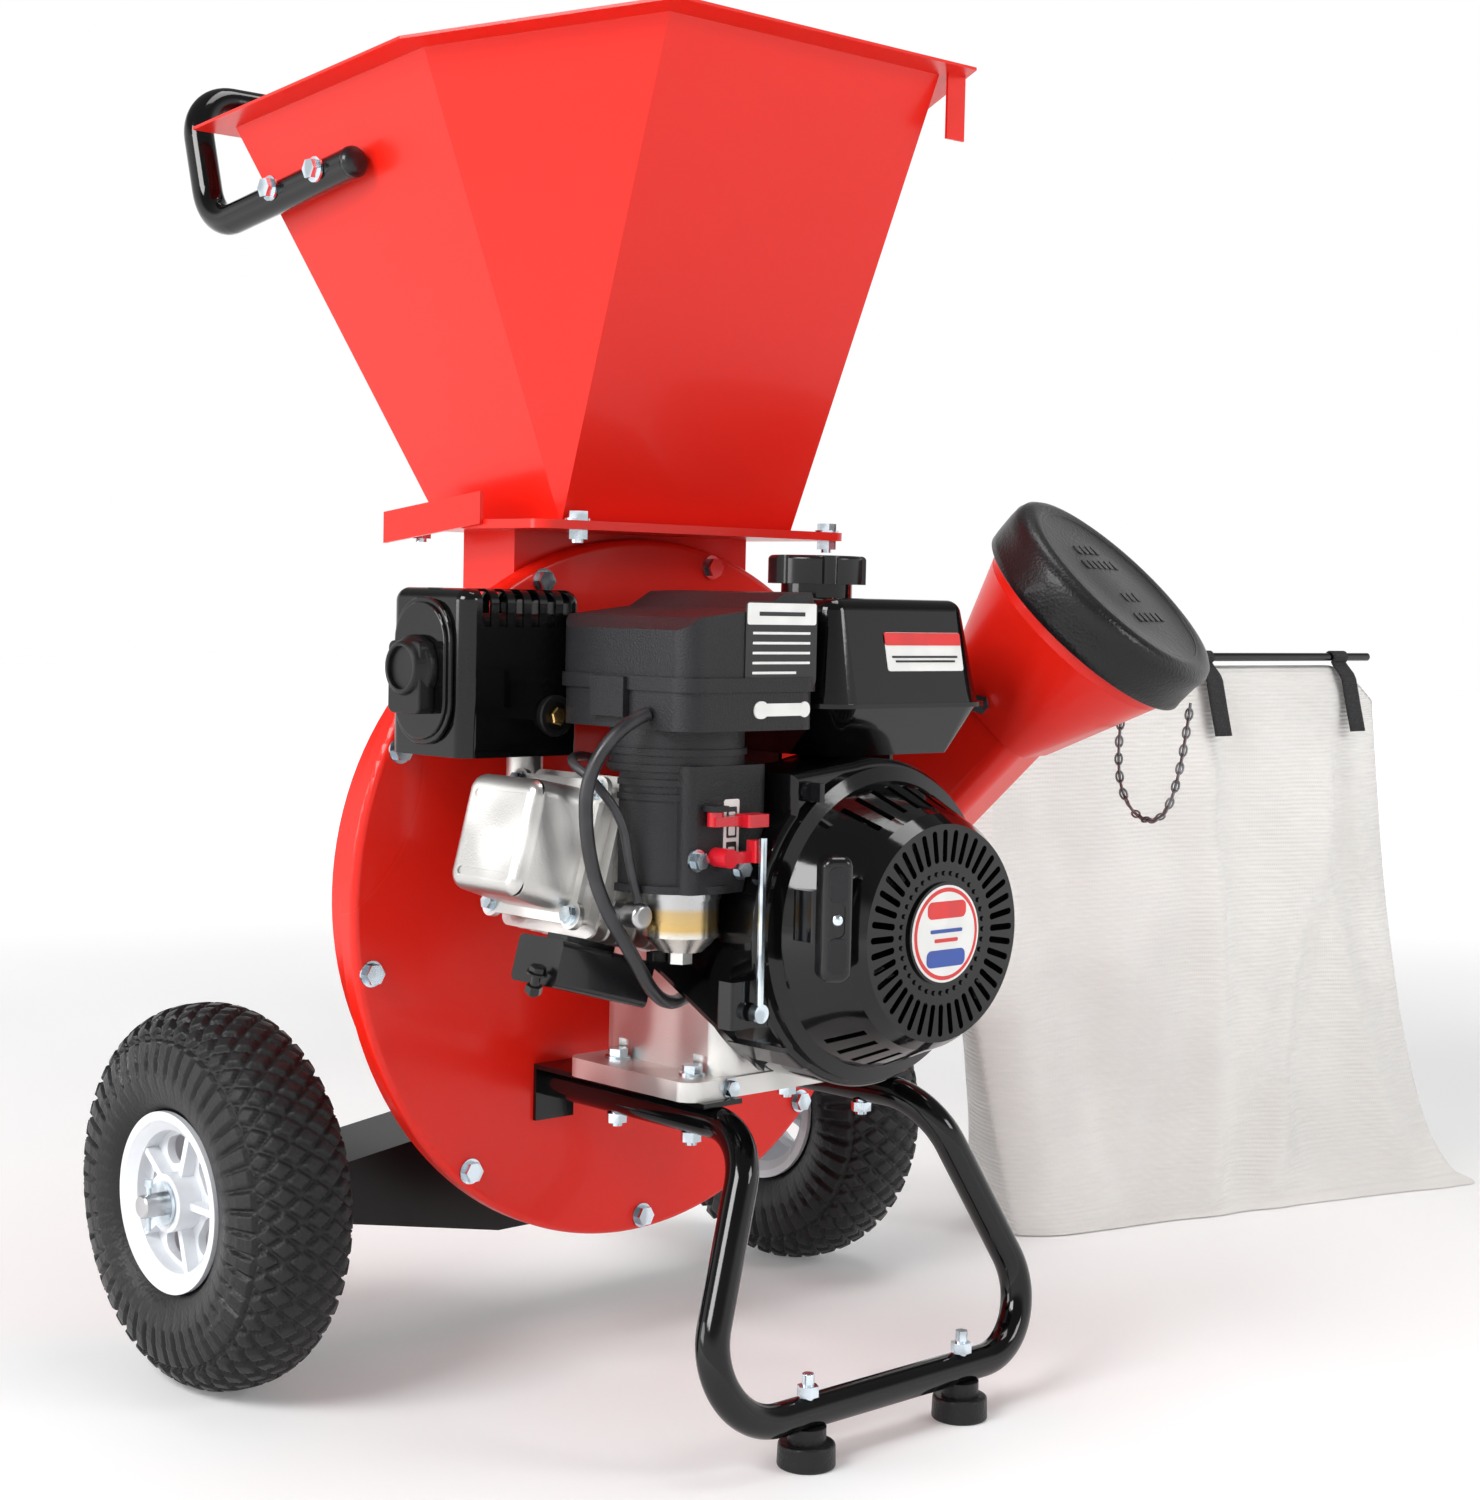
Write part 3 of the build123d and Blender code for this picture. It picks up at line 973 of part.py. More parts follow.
# ---- small engine pieces -------------------------------------------------
with BuildPart() as spark_plug:
    add(rods(PLUG, [(0, 0)], 6.9, -6, 16))
    with BuildSketch(PLUG.offset(16)):
        RegularPolygon(9, 6)
    extrude(amount=6)
    add(rods(PLUG, [(0, 0)], 5, 22, 30))
    add(rods(PLUG, [(0, 0)], 8, 30, 44))
    fillet(spark_plug.faces().sort_by(Axis.Y)[0].edges(), 3)
save(spark_plug, "spark_plug")

lead_points = [at(-168, -188, 360.8), at(-176, -188, 385), at(-178, -184, 412), at(-192, -172, 436),
               at(-196, -152, 447), at(-176, -136, 450), at(-150, -120, 446)]
hose_points = [at(-166.5, -192, 478), at(-184, -188, 472), at(-204, -178, 440), at(-202, -177, 400),
               at(-192, -180, 362), at(-170, -187, 326), at(-150, -184, 300), at(-122, -170, 290),
               at(-96, -155, 291), at(-76, -147, 292)]
LEAD_R, HOSE_R = 3.0, 4.5

with BuildPart() as ignition_lead:
    add(free_run(lead_points, LEAD_R))
save(ignition_lead, "ignition_lead")

with BuildPart() as breather_hose:
    add(free_run(hose_points, HOSE_R))
save(breather_hose, "breather_hose")

with BuildPart() as oil_dipstick:
    add(rods(side(CASE_X, *DIPSTICK_AT), [(0, 0)], 8.7, -14, 0))
    add(rods(side(CASE_X, *DIPSTICK_AT), [(0, 0)], 13, 0, 8))
    add(block((CASE_X + 8, CASE_X + 18), (-112, -88), (DIPSTICK_AT[1] - 2.5, DIPSTICK_AT[1] + 2.5), 1))
    add(rods(side(CASE_X, *DIPSTICK_AT), [(0, 0)], 2, -40, -14))
save(oil_dipstick, "oil_dipstick")

ROCKER_FACE = CYLINDER.offset(HEAD_END + 4)
ELBOW_BOLTS = [(-146, 388), (-109, 381)]
with BuildPart() as engine_bolts:
    add(bolts(ROCKER_FACE, ROCKER_BOLTS, M6, 4, nut=False))
    for bolt_x, bolt_z in ELBOW_BOLTS:
        add(rods(front(-216, bolt_x, bolt_z), [(0, 0)], 7, 0.2, 2))
    with BuildSketch(front(-218)):
        with Locations(*ELBOW_BOLTS):
            RegularPolygon(5.4, 6)
    extrude(amount=5)
    add(bolts(front(-170.1, -70, BASE_Z + 6.5), [(0, 0)], M6, 0.1, nut=False))
save(engine_bolts, "engine_bolts")

with BuildPart() as drum_bolts:
    add(bolts(CRANK_FRONT, COVER_POINTS, M8, 2 * SHEET))
    for seat in HOOD_SEATS:
        add(rods(seat, [(0, 0)], M6 / 2, 27, 48))
        with BuildSketch(seat.offset(48)):
            RegularPolygon(M8 * 0.9, 6)
        extrude(amount=5)
save(drum_bolts, "drum_bolts")

# ---- collection bag ------------------------------------------------------
COLLAR_GAP, COLLAR_WALL = 2.0, 4.0
collar_y = (DUCT_Y[0] - DUCT_LIP - COLLAR_GAP, DUCT_Y[1] + DUCT_LIP + COLLAR_GAP)
collar_z = (DUCT_Z[0] - DUCT_LIP - COLLAR_GAP, DUCT_Z[1] + DUCT_LIP + COLLAR_GAP)
bag_floor = [(474, 20), (650, -22), (975, -116), (1014, -70), (1014, 150), (640, 140), (474, 110)]
bag_top = [(360, 24), (640, 30), (1006, 30), (1014, 36), (1014, 56), (640, 60), (360, 66)]
BAG_WALL = 4.0


def bag_section(z, outline, inset):
    with BuildSketch(level(z)) as section:
        with BuildLine():
            Polyline(*outline, close=True)
        make_face()
        offset(amount=-inset - 0.001, kind=Kind.INTERSECTION)
    return section.sketch


def bag_solid(inset):
    """The filled-out bag: a wide floor drawn up to a narrow top, with a sloping shoulder."""
    shoulder = Plane(origin=at(360, 0, collar_z[1]), x_dir=(0, 1, 0),
                     z_dir=Vector(collar_z[1] - BAG_TOP_Z, 0, BAG_CREST_X - 360)).offset(-inset)
    with BuildPart() as body:
        loft([bag_section(inset, bag_floor, inset),
              bag_section(BAG_TOP_Z - inset, bag_top, inset)], ruled=True)
        split(bisect_by=shoulder, keep=Keep.BOTTOM)
    return body.part


ROD_AT = (45.0, BAG_TOP_Z + 8)
STRAP_X = (712.0, 934.0)
with BuildPart() as collection_bag:
    add(bag_solid(0))
    add(block((300, 430), (collar_y[0] - COLLAR_WALL, collar_y[1] + COLLAR_WALL),
              (collar_z[0] - COLLAR_WALL, collar_z[1] + COLLAR_WALL)))
    add(block((290, 425), collar_y, collar_z), mode=Mode.SUBTRACT)
    add(bag_solid(BAG_WALL), mode=Mode.SUBTRACT)
    for strap_x in STRAP_X:
        with BuildSketch(side(strap_x, 0, 0)):
            with Locations(ROD_AT):
                Circle(7)
                Circle(4.3, mode=Mode.SUBTRACT)
            with Locations((ROD_AT[0] - 22.5, ROD_AT[1] - 30)):
                Rectangle(3, 66)
            with Locations((ROD_AT[0] - 14, ROD_AT[1] + 1.5)):
                Rectangle(20, 3)
        extrude(amount=24)
save(collection_bag, "collection_bag")

with BuildPart() as bag_rod:
    add(rods(side(0, *ROD_AT), [(0, 0)], 4, 655, 1000))
save(bag_rod, "bag_rod")
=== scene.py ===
import json
import math

import bmesh
import bpy
from mathutils import Matrix, Vector, noise


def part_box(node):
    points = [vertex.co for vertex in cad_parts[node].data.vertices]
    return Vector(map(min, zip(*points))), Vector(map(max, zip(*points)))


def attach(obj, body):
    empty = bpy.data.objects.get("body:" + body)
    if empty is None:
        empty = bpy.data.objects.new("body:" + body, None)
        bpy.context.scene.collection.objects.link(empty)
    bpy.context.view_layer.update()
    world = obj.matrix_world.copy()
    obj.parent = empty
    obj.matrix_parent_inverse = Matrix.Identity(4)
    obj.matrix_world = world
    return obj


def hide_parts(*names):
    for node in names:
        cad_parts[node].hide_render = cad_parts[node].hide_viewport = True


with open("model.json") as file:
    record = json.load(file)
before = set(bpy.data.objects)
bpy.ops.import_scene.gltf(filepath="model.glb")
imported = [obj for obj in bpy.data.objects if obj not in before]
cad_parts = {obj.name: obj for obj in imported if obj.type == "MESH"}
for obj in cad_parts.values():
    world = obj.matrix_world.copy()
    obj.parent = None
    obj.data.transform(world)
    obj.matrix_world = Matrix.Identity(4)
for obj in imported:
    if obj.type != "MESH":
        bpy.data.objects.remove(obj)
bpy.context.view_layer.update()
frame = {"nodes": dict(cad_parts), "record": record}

# A petrol wood chipper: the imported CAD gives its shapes, and this script gives
# it paint, rubber, cloth, tread, hoses and labels, a camera and soft light.

NODES = frame["nodes"]


def at(x, y, z):
    """A point given in millimetres from the machine's datum, as the CAD source gives it."""
    return Vector((x - 341.0, y + 0.5, z)) / 1000


# ---- materials ----------------------------------------------------------
def new_node(tree, kind, **settings):
    """A shader node with sockets or properties set by name."""
    node = tree.nodes.new("ShaderNode" + kind)
    for key, value in settings.items():
        if key in node.inputs:
            node.inputs[key].default_value = value
        else:
            setattr(node, key, value)
    return node


def object_place(tree, stretch=(1, 1, 1)):
    """Object coordinates in metres, stretched along the axes."""
    place = new_node(tree, "TexCoord")
    mapping = new_node(tree, "Mapping")
    mapping.inputs["Scale"].default_value = stretch
    tree.links.new(place.outputs["Object"], mapping.inputs["Vector"])
    return mapping.outputs["Vector"]


def noise_value(tree, scale, stretch=(1, 1, 1), detail=4.0):
    """A noise's value over the object."""
    texture = new_node(tree, "TexNoise", Scale=scale, Detail=detail)
    tree.links.new(object_place(tree, stretch), texture.inputs["Vector"])
    return texture.outputs["Fac"]


def ramp(tree, value, low, high, low_at=0.35, high_at=0.65):
    """Turns a value into a colour between two colours."""
    colours = new_node(tree, "ValToRGB")
    colours.color_ramp.interpolation = "EASE"
    colours.color_ramp.elements[0].position = low_at
    colours.color_ramp.elements[1].position = high_at
    colours.color_ramp.elements[0].color = (*low, 1)
    colours.color_ramp.elements[1].color = (*high, 1)
    tree.links.new(value, colours.inputs["Fac"])
    return colours.outputs["Color"]


def spread(tree, value, low, high, start=0.3, end=0.7):
    """Maps a value from start..end to low..high."""
    mapped = new_node(tree, "MapRange", interpolation_type="SMOOTHSTEP")
    for key, number in (("From Min", start), ("From Max", end), ("To Min", low), ("To Max", high)):
        mapped.inputs[key].default_value = number
    tree.links.new(value, mapped.inputs["Value"])
    return mapped.outputs["Result"]


def relief(tree, value, depth, below=None):
    """A bump of that depth in metres, laid over the relief below it."""
    bump = new_node(tree, "Bump", Strength=1.0, Distance=depth)
    tree.links.new(value, bump.inputs["Height"])
    if below:
        tree.links.new(below, bump.inputs["Normal"])
    return bump.outputs["Normal"]


def surface(name, colour, rough, metallic=0.0, coat=0.0, drift=0.12, patch=9.0, grain=700.0, depth=0.00003,
            stretch=(1, 1, 1), shine=0.5):
    """A finish whose colour and gloss drift in soft patches over a fine grain."""
    made = bpy.data.materials.new(name)
    made.use_nodes = True
    tree = made.node_tree
    shader = tree.nodes["Principled BSDF"]
    shader.inputs["Metallic"].default_value = metallic
    shader.inputs["Coat Weight"].default_value = coat
    shader.inputs["Coat Roughness"].default_value = 0.06
    shader.inputs["Specular IOR Level"].default_value = shine
    patches = noise_value(tree, patch, detail=0.0)
    dark = [c * (1 - drift) for c in colour]
    light = [min(1.0, c * (1 + drift) + drift * 0.01) for c in colour]
    tree.links.new(ramp(tree, patches, dark, light), shader.inputs["Base Color"])
    tree.links.new(spread(tree, patches, rough * 0.8, min(1.0, rough * 1.25)), shader.inputs["Roughness"])
    tree.links.new(relief(tree, noise_value(tree, grain, stretch, 6.0), depth), shader.inputs["Normal"])
    return made


def lay_over(made, value, depth):
    """Adds a second, coarser relief to a finish."""
    tree = made.node_tree
    socket = tree.nodes["Principled BSDF"].inputs["Normal"]
    below = socket.links[0].from_socket
    tree.links.new(relief(tree, value, depth, below), socket)
    return made


def granular(name, colour, rough, size, depth, coat=0.0, shine=0.3):
    """Moulded plastic or rubber with a leathery grain of that size in metres."""
    made = surface(name, colour, rough, coat=coat, grain=0.5 / size, depth=depth * 0.4, shine=shine)
    tree = made.node_tree
    cells = new_node(tree, "TexVoronoi", Scale=1 / size)
    tree.links.new(object_place(tree), cells.inputs["Vector"])
    return lay_over(made, cells.outputs["Distance"], depth)


def ribbed(made, pitch, axis, depth):
    """Adds fine even ribs across an axis, given by its letter, to a finish."""
    tree = made.node_tree
    waves = new_node(tree, "TexWave", Scale=0.314 / pitch, Distortion=0.6, Detail=1.0)
    waves.bands_direction = axis
    tree.links.new(object_place(tree), waves.inputs["Vector"])
    return lay_over(made, waves.outputs["Fac"], depth)


def mesh_cloth():
    """Knitted mesh: bright level ribs, fine uprights between them, some light let through."""
    made = surface("mesh_cloth", (0.86, 0.84, 0.81), 0.8, drift=0.03, patch=9, grain=1500, depth=0.00008)
    ribbed(made, 0.0040, "Z", 0.0008)
    ribbed(made, 0.0020, "X", 0.00012)
    shader = made.node_tree.nodes["Principled BSDF"]
    shader.inputs["Sheen Weight"].default_value = 0.3
    shader.inputs["Subsurface Weight"].default_value = 0.15
    shader.inputs["Subsurface Radius"].default_value = (0.02, 0.018, 0.015)
    return made


def webbing_cloth():
    """Black woven tape, ribbed both ways."""
    made = surface("webbing", (0.02, 0.02, 0.022), 0.8, drift=0.4, patch=200, grain=1800, depth=0.0001)
    ribbed(made, 0.0022, "Z", 0.0006)
    return ribbed(made, 0.0022, "X", 0.0005)


RED = surface("red_paint", (0.76, 0.014, 0.006), 0.32, coat=0.12, shine=0.3, drift=0.02, patch=0.8,
              grain=420, depth=0.00005)
BLACK = surface("black_enamel", (0.002, 0.002, 0.0024), 0.10, coat=0.22, shine=0.3, drift=0.2, patch=9,
                grain=260, depth=0.00003)
SATIN = surface("satin_black", (0.006, 0.006, 0.0065), 0.38, shine=0.3, drift=0.3, grain=900, depth=0.0001)
CAST = surface("cast_alloy", (0.66, 0.65, 0.63), 0.36, metallic=0.9, drift=0.18, patch=26, grain=850,
               depth=0.00016)
ZINC = surface("zinc_plate", (0.62, 0.70, 0.76), 0.2, metallic=1.0, drift=0.22, patch=90, grain=900,
               depth=0.00003)
STEEL = surface("machined_steel", (0.5, 0.5, 0.51), 0.3, metallic=1.0, patch=20, grain=500, depth=0.00004,
                stretch=(1, 12, 1))
IRON = surface("cast_iron", (0.16, 0.16, 0.17), 0.55, metallic=0.8, grain=500, depth=0.0002)
LID = granular("grained_plastic", (0.014, 0.014, 0.016), 0.40, 0.0011, 0.00022)
SMOOTH_PLASTIC = surface("smooth_plastic", (0.006, 0.006, 0.007), 0.22, coat=0.15, shine=0.35, drift=0.25,
                         grain=700, depth=0.00004)
RED_PLASTIC = surface("red_plastic", (0.62, 0.008, 0.02), 0.3, coat=0.2, grain=800, depth=0.00005)
FOAM = granular("filter_foam", (0.2, 0.2, 0.17), 0.95, 0.0018, 0.0008)
RUBBER = granular("moulded_rubber", (0.006, 0.006, 0.007), 0.34, 0.0022, 0.00025, coat=0.1)
TYRE = granular("tyre_rubber", (0.012, 0.012, 0.013), 0.42, 0.0028, 0.00022)
CHAIN = surface("chain_steel", (0.20, 0.20, 0.21), 0.3, metallic=0.9, drift=0.2, patch=90, grain=900,
                depth=0.00003)
WHEEL = surface("wheel_paint", (0.72, 0.74, 0.77), 0.34, coat=0.2, drift=0.06, grain=500, depth=0.00008)
MESH = mesh_cloth()
WEBBING = webbing_cloth()
BRASS = surface("brass", (0.72, 0.47, 0.18), 0.25, metallic=1.0, drift=0.2, patch=60, grain=800,
                depth=0.00004)
HOSE = surface("hose_rubber", (0.02, 0.02, 0.023), 0.38, drift=0.25, patch=60, grain=900, depth=0.00006)


def film(name, colour, drift):
    """A sticker's printed film."""
    return surface(name, colour, 0.4, coat=0.3, drift=drift, patch=60, grain=900, depth=0.00001)


LABEL = film("label_film", (0.82, 0.82, 0.8), 0.03)
LABEL_RED = film("label_red", (0.7, 0.02, 0.02), 0.06)
LABEL_BLUE = film("label_blue", (0.02, 0.07, 0.36), 0.06)
LABEL_INK = surface("label_ink", (0.015, 0.015, 0.016), 0.45, drift=0.1, patch=60, grain=900, depth=0.00001)

FINISH = {
    "red_paint": RED, "black_paint": BLACK, "satin_black": SATIN, "cast_alloy": CAST, "zinc": ZINC,
    "steel": STEEL, "iron": IRON, "dark_plastic": LID, "black_plastic": SMOOTH_PLASTIC,
    "red_plastic": RED_PLASTIC, "filter_foam": FOAM, "rubber": RUBBER, "tyre": TYRE,
    "wheel_paint": WHEEL, "mesh": MESH, "webbing": WEBBING,
}


def repaint(obj, finish):
    """Gives every slot of an object one finish."""
    if not obj.material_slots:
        obj.data.materials.append(finish)
    for slot in obj.material_slots:
        slot.material = finish


for row in frame["record"]["subparts"]:
    repaint(NODES[row["node"]], FINISH[row["material_slot"]])
repaint(NODES["bag_rod"], BLACK)
repaint(NODES["tank_bracket"], BLACK)


# ---- mesh helpers -------------------------------------------------------
def piece(name, shape, finish, body, smooth=True):
    """Turns a bmesh into a finished piece that rides on a body."""
    mesh = bpy.data.meshes.new(name)
    bmesh.ops.recalc_face_normals(shape, faces=shape.faces)
    shape.to_mesh(mesh)
    shape.free()
    for face in mesh.polygons:
        face.use_smooth = smooth
    made = bpy.data.objects.new(name, mesh)
    bpy.context.scene.collection.objects.link(made)
    finishes = finish if isinstance(finish, list) else [finish]
    for one in finishes:
        mesh.materials.append(one)
    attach(made, body)
    return made


def bevelled(made, width, segments=2):
    """Rounds a piece's sharp edges."""
    edge = made.modifiers.new("edge", "BEVEL")
    edge.width = width
    edge.segments = segments
    edge.limit_method = "ANGLE"
    edge.angle_limit = math.radians(35)
    return made


def grid(columns, rows, point, closed=False):
    """A quad grid through point(u, v), closed on itself along u if asked."""
    shape = bmesh.new()
    points = [[shape.verts.new(point(i / columns, j / rows)) for i in range(columns + (0 if closed else 1))]
              for j in range(rows + 1)]
    wide = len(points[0])
    for j in range(rows):
        for i in range(columns):
            k = (i + 1) % wide
            shape.faces.new((points[j][i], points[j][k], points[j + 1][k], points[j + 1][i]))
    return shape


def slab(shape, across, up, out, centre, wide, high, thick, corner=0.0, material=0, steps=5):
    """Adds a plate with rounded corners, its back at centre, to a bmesh."""
    outline = []
    for sign_x, sign_y, start in ((1, 1, 0), (-1, 1, 90), (-1, -1, 180), (1, -1, 270)):
        for i in range(steps + 1 if corner else 1):
            turn = math.radians(start + 90 * i / steps)
            x = sign_x * (wide / 2 - corner) + corner * math.cos(turn)
            y = sign_y * (high / 2 - corner) + corner * math.sin(turn)
            outline.append(centre + across * x + up * y)
    low = [shape.verts.new(p) for p in outline]
    top = [shape.verts.new(p + out * thick) for p in outline]
    faces = [shape.faces.new(low[::-1]), shape.faces.new(top)]
    for i in range(len(low)):
        k = (i + 1) % len(low)
        faces.append(shape.faces.new((low[i], low[k], top[k], top[i])))
    for face in faces:
        face.material_index = material


def lathe(shape, origin, axis, outline, steps=48, material=0):
    """Adds a body of revolution, outline points being (along the axis, radius)."""
    axis = axis.normalized()
    first = axis.orthogonal().normalized()
    second = axis.cross(first)
    rings = []
    for along, radius in outline:
        ring = []
        for i in range(steps):
            turn = 2 * math.pi * i / steps
            spoke = first * math.cos(turn) + second * math.sin(turn)
            ring.append(shape.verts.new(origin + axis * along + spoke * max(radius, 1e-5)))
        rings.append(ring)
    for low, high in zip(rings, rings[1:]):
        for i in range(steps):
            k = (i + 1) % steps
            shape.faces.new((low[i], low[k], high[k], high[i])).material_index = material


X, Y, Z = Vector((1, 0, 0)), Vector((0, 1, 0)), Vector((0, 0, 1))


# ---- camera -------------------------------------------------------------
def add_camera():
    """The camera: its place, angle and lens."""
    turn, lift, roll = math.radians(-43.33), math.radians(3.5), math.radians(1.25)
    back = Vector((math.sin(turn) * math.cos(lift), -math.cos(turn) * math.cos(lift), math.sin(lift)))
    right = (-back).cross(Z).normalized()
    up = right.cross(-back)
    right, up = (right * math.cos(roll) + up * math.sin(roll), up * math.cos(roll) - right * math.sin(roll))
    lens = bpy.data.cameras.new("camera")
    lens.lens = 59.64
    lens.sensor_width = 36
    lens.clip_start = 0.05
    camera = bpy.data.objects.new("camera", lens)
    camera.matrix_world = Matrix((right, up, back)).transposed().to_4x4()
    camera.location = at(-1175.9, -1345.4, 550.5)
    bpy.context.scene.collection.objects.link(camera)
    bpy.context.scene.camera = camera


add_camera()

# ---- cords --------------------------------------------------------------
CHUTE_ROOT, CHUTE_TOP = at(172, 0, 312), at(245, -228, 562)
CHUTE_AXIS = (CHUTE_TOP - CHUTE_ROOT).normalized()
CHUTE_ACROSS = Vector((-CHUTE_AXIS.y, CHUTE_AXIS.x, 0)).normalized()
CHUTE_UP = CHUTE_AXIS.cross(CHUTE_ACROSS)
CHUTE_LENGTH = (CHUTE_TOP - CHUTE_ROOT).length


def cord_curve(name, points, radius, finish):
    """A round cord along one smooth curve through the neighbourhood of its points."""
    data = bpy.data.curves.new(name, "CURVE")
    data.dimensions = "3D"
    data.bevel_depth = radius
    data.bevel_resolution = 5
    data.resolution_u = 16
    data.use_fill_caps = True
    run = data.splines.new("NURBS")
    run.points.add(len(points) - 1)
    for slot_point, point in zip(run.points, points):
        slot_point.co = (*point, 1)
    run.order_u = 3
    run.use_endpoint_u = True
    data.materials.append(finish)
    made = bpy.data.objects.new(name, data)
    bpy.context.scene.collection.objects.link(made)
    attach(made, "chassis")
    return made


def centreline(made):
    """Points along a cord's own spline."""
    bare = made.copy()
    bare.data = made.data.copy()
    bare.data.bevel_depth = 0
    bpy.context.scene.collection.objects.link(bare)
    bpy.context.view_layer.update()
    mesh = bpy.data.meshes.new_from_object(bare.evaluated_get(bpy.context.evaluated_depsgraph_get()))
    line = [v.co.copy() for v in mesh.vertices]
    bpy.data.objects.remove(bare)
    bpy.data.meshes.remove(mesh)
    return line


def run_length(line):
    """The length of a line of points."""
    return sum((b - a).length for a, b in zip(line, line[1:]))


def along(line, distance):
    """The point and direction at a distance along a line."""
    for a, b in zip(line, line[1:]):
        step = (b - a).length
        if distance <= step:
            return a.lerp(b, distance / step), (b - a).normalized()
        distance -= step
    return line[-1].copy(), (line[-1] - line[-2]).normalized()


def add_hoses():
    """The spark plug's lead and the breather hose."""
    lead_points = [at(-168, -188, 360.8), at(-176, -188, 385), at(-178, -184, 412), at(-192, -172, 436),
                   at(-196, -152, 447), at(-176, -136, 450), at(-150, -120, 446)]
    hose_points = [at(-166.5, -192, 478), at(-184, -188, 472), at(-204, -178, 440), at(-202, -177, 400),
                   at(-192, -180, 362), at(-170, -187, 326), at(-150, -184, 300), at(-122, -170, 290),
                   at(-96, -155, 291), at(-76, -147, 292)]
    hoses = (("ignition_lead", lead_points, 0.003), ("breather_hose", hose_points, 0.0045))
    for name, points, radius in hoses:
        made = cord_curve(f"{name}_cord", points, radius, HOSE)
        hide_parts(name)
        run_length(centreline(made))


LINK_PITCH, LINK_LONG, LINK_WIDE, LINK_WIRE, LINK_STEPS = 0.0066, 0.0043, 0.0025, 0.0008, 14


def add_chain():
    """The cap's keeper: a fine core cord with oval links threaded along it."""
    hood_low = (CHUTE_ROOT + CHUTE_AXIS * 0.275 + CHUTE_ACROSS * 0.049 - CHUTE_UP * 0.054)
    cap_low = (CHUTE_ROOT + CHUTE_AXIS * (CHUTE_LENGTH - 0.024) + CHUTE_ACROSS * 0.030 - CHUTE_UP * 0.0905)
    points = [hood_low, hood_low + Vector((0.004, 0.008, -0.045)), hood_low + Vector((0.006, -0.008, -0.078)),
              cap_low + Vector((-0.010, 0.014, -0.088)), cap_low + Vector((-0.003, 0.004, -0.050)), cap_low]
    core = cord_curve("cap_chain_cord", points, 0.0011, CHAIN)
    line = centreline(core)
    length = run_length(line)
    shape = bmesh.new()
    for i in range(int(length / LINK_PITCH)):
        middle, direction = along(line, (i + 0.5) * LINK_PITCH)
        flat = direction.orthogonal().normalized()
        flat = Matrix.Rotation(math.radians(90 * (i % 2)), 3, direction) @ flat
        thick = flat.cross(direction)
        ring = []
        for j in range(LINK_STEPS):
            turn = 2 * math.pi * j / LINK_STEPS
            centre = middle + direction * LINK_LONG * math.cos(turn) + flat * LINK_WIDE * math.sin(turn)
            outward = (direction * math.cos(turn) * 0.6 + flat * math.sin(turn)).normalized()
            corners = [outward * LINK_WIRE * math.cos(a) + thick * LINK_WIRE * math.sin(a)
                       for a in (0, 1.57, 3.14, 4.71)]
            ring.append([shape.verts.new(centre + corner) for corner in corners])
        for j in range(LINK_STEPS):
            here, there = ring[j], ring[(j + 1) % LINK_STEPS]
            for k in range(4):
                shape.faces.new((here[k], here[(k + 1) % 4], there[(k + 1) % 4], there[k]))
    links = piece("cap_chain_links", shape, CHAIN, "chassis")
    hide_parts("cap_chain")


add_hoses()
add_chain()


# ---- tyres --------------------------------------------------------------
BEAD_R, WALL_R = 0.0545, 0.0765
TREAD_HALF, SHOULDER, SHOULDER_GROOVE = 0.072, 0.044, 0.047
BLOCKS, BLOCK_WIDE, GROOVE_DEEP = 46, 0.0125, 0.0034
TYRE_COLUMNS, TYRE_ROWS, TYRE_BEAD_ROWS = 490, 112, 8


def tyre_stations(half, outer):
    """The tyre's outside from bead to bead, as places across and radii."""
    stations = []
    for j in range(TYRE_ROWS + 1):
        v = j / TYRE_ROWS
        turn = math.pi * (1.13 * v - 0.065)
        x = -half * math.copysign(abs(math.cos(turn)) ** 0.86, math.cos(turn))
        crown = max(0.0, math.sin(turn)) ** 0.62
        stations.append((x, WALL_R + (outer - WALL_R) * crown))
    wall = [(-0.0278, BEAD_R), (-0.031, 0.0625), (-0.0375, 0.068)]
    return wall + stations[TYRE_BEAD_ROWS:-TYRE_BEAD_ROWS] + [(-x, r) for x, r in reversed(wall)]


def tread_drop(turn, distance):
    """How far the grooves cut in: diamond blocks in the middle, square lugs at the shoulders."""
    if abs(distance) > TREAD_HALF:
        return 0.0
    a = turn / (2 * math.pi) * BLOCKS
    b = distance / BLOCK_WIDE
    first, second = (a + b * 0.5) % 1.0, (a - b * 0.5) % 1.0
    gap = min(first, 1 - first, second, 1 - second)
    edge = min(1.0, max(0.0, (TREAD_HALF - abs(distance)) / 0.004))
    if abs(distance) > SHOULDER:
        gap = min(a % 1.0, 1 - a % 1.0)
        if abs(distance) < SHOULDER_GROOVE:
            gap = 0.0
    return GROOVE_DEEP * edge * min(1.0, max(0.0, (0.165 - gap) / 0.07))


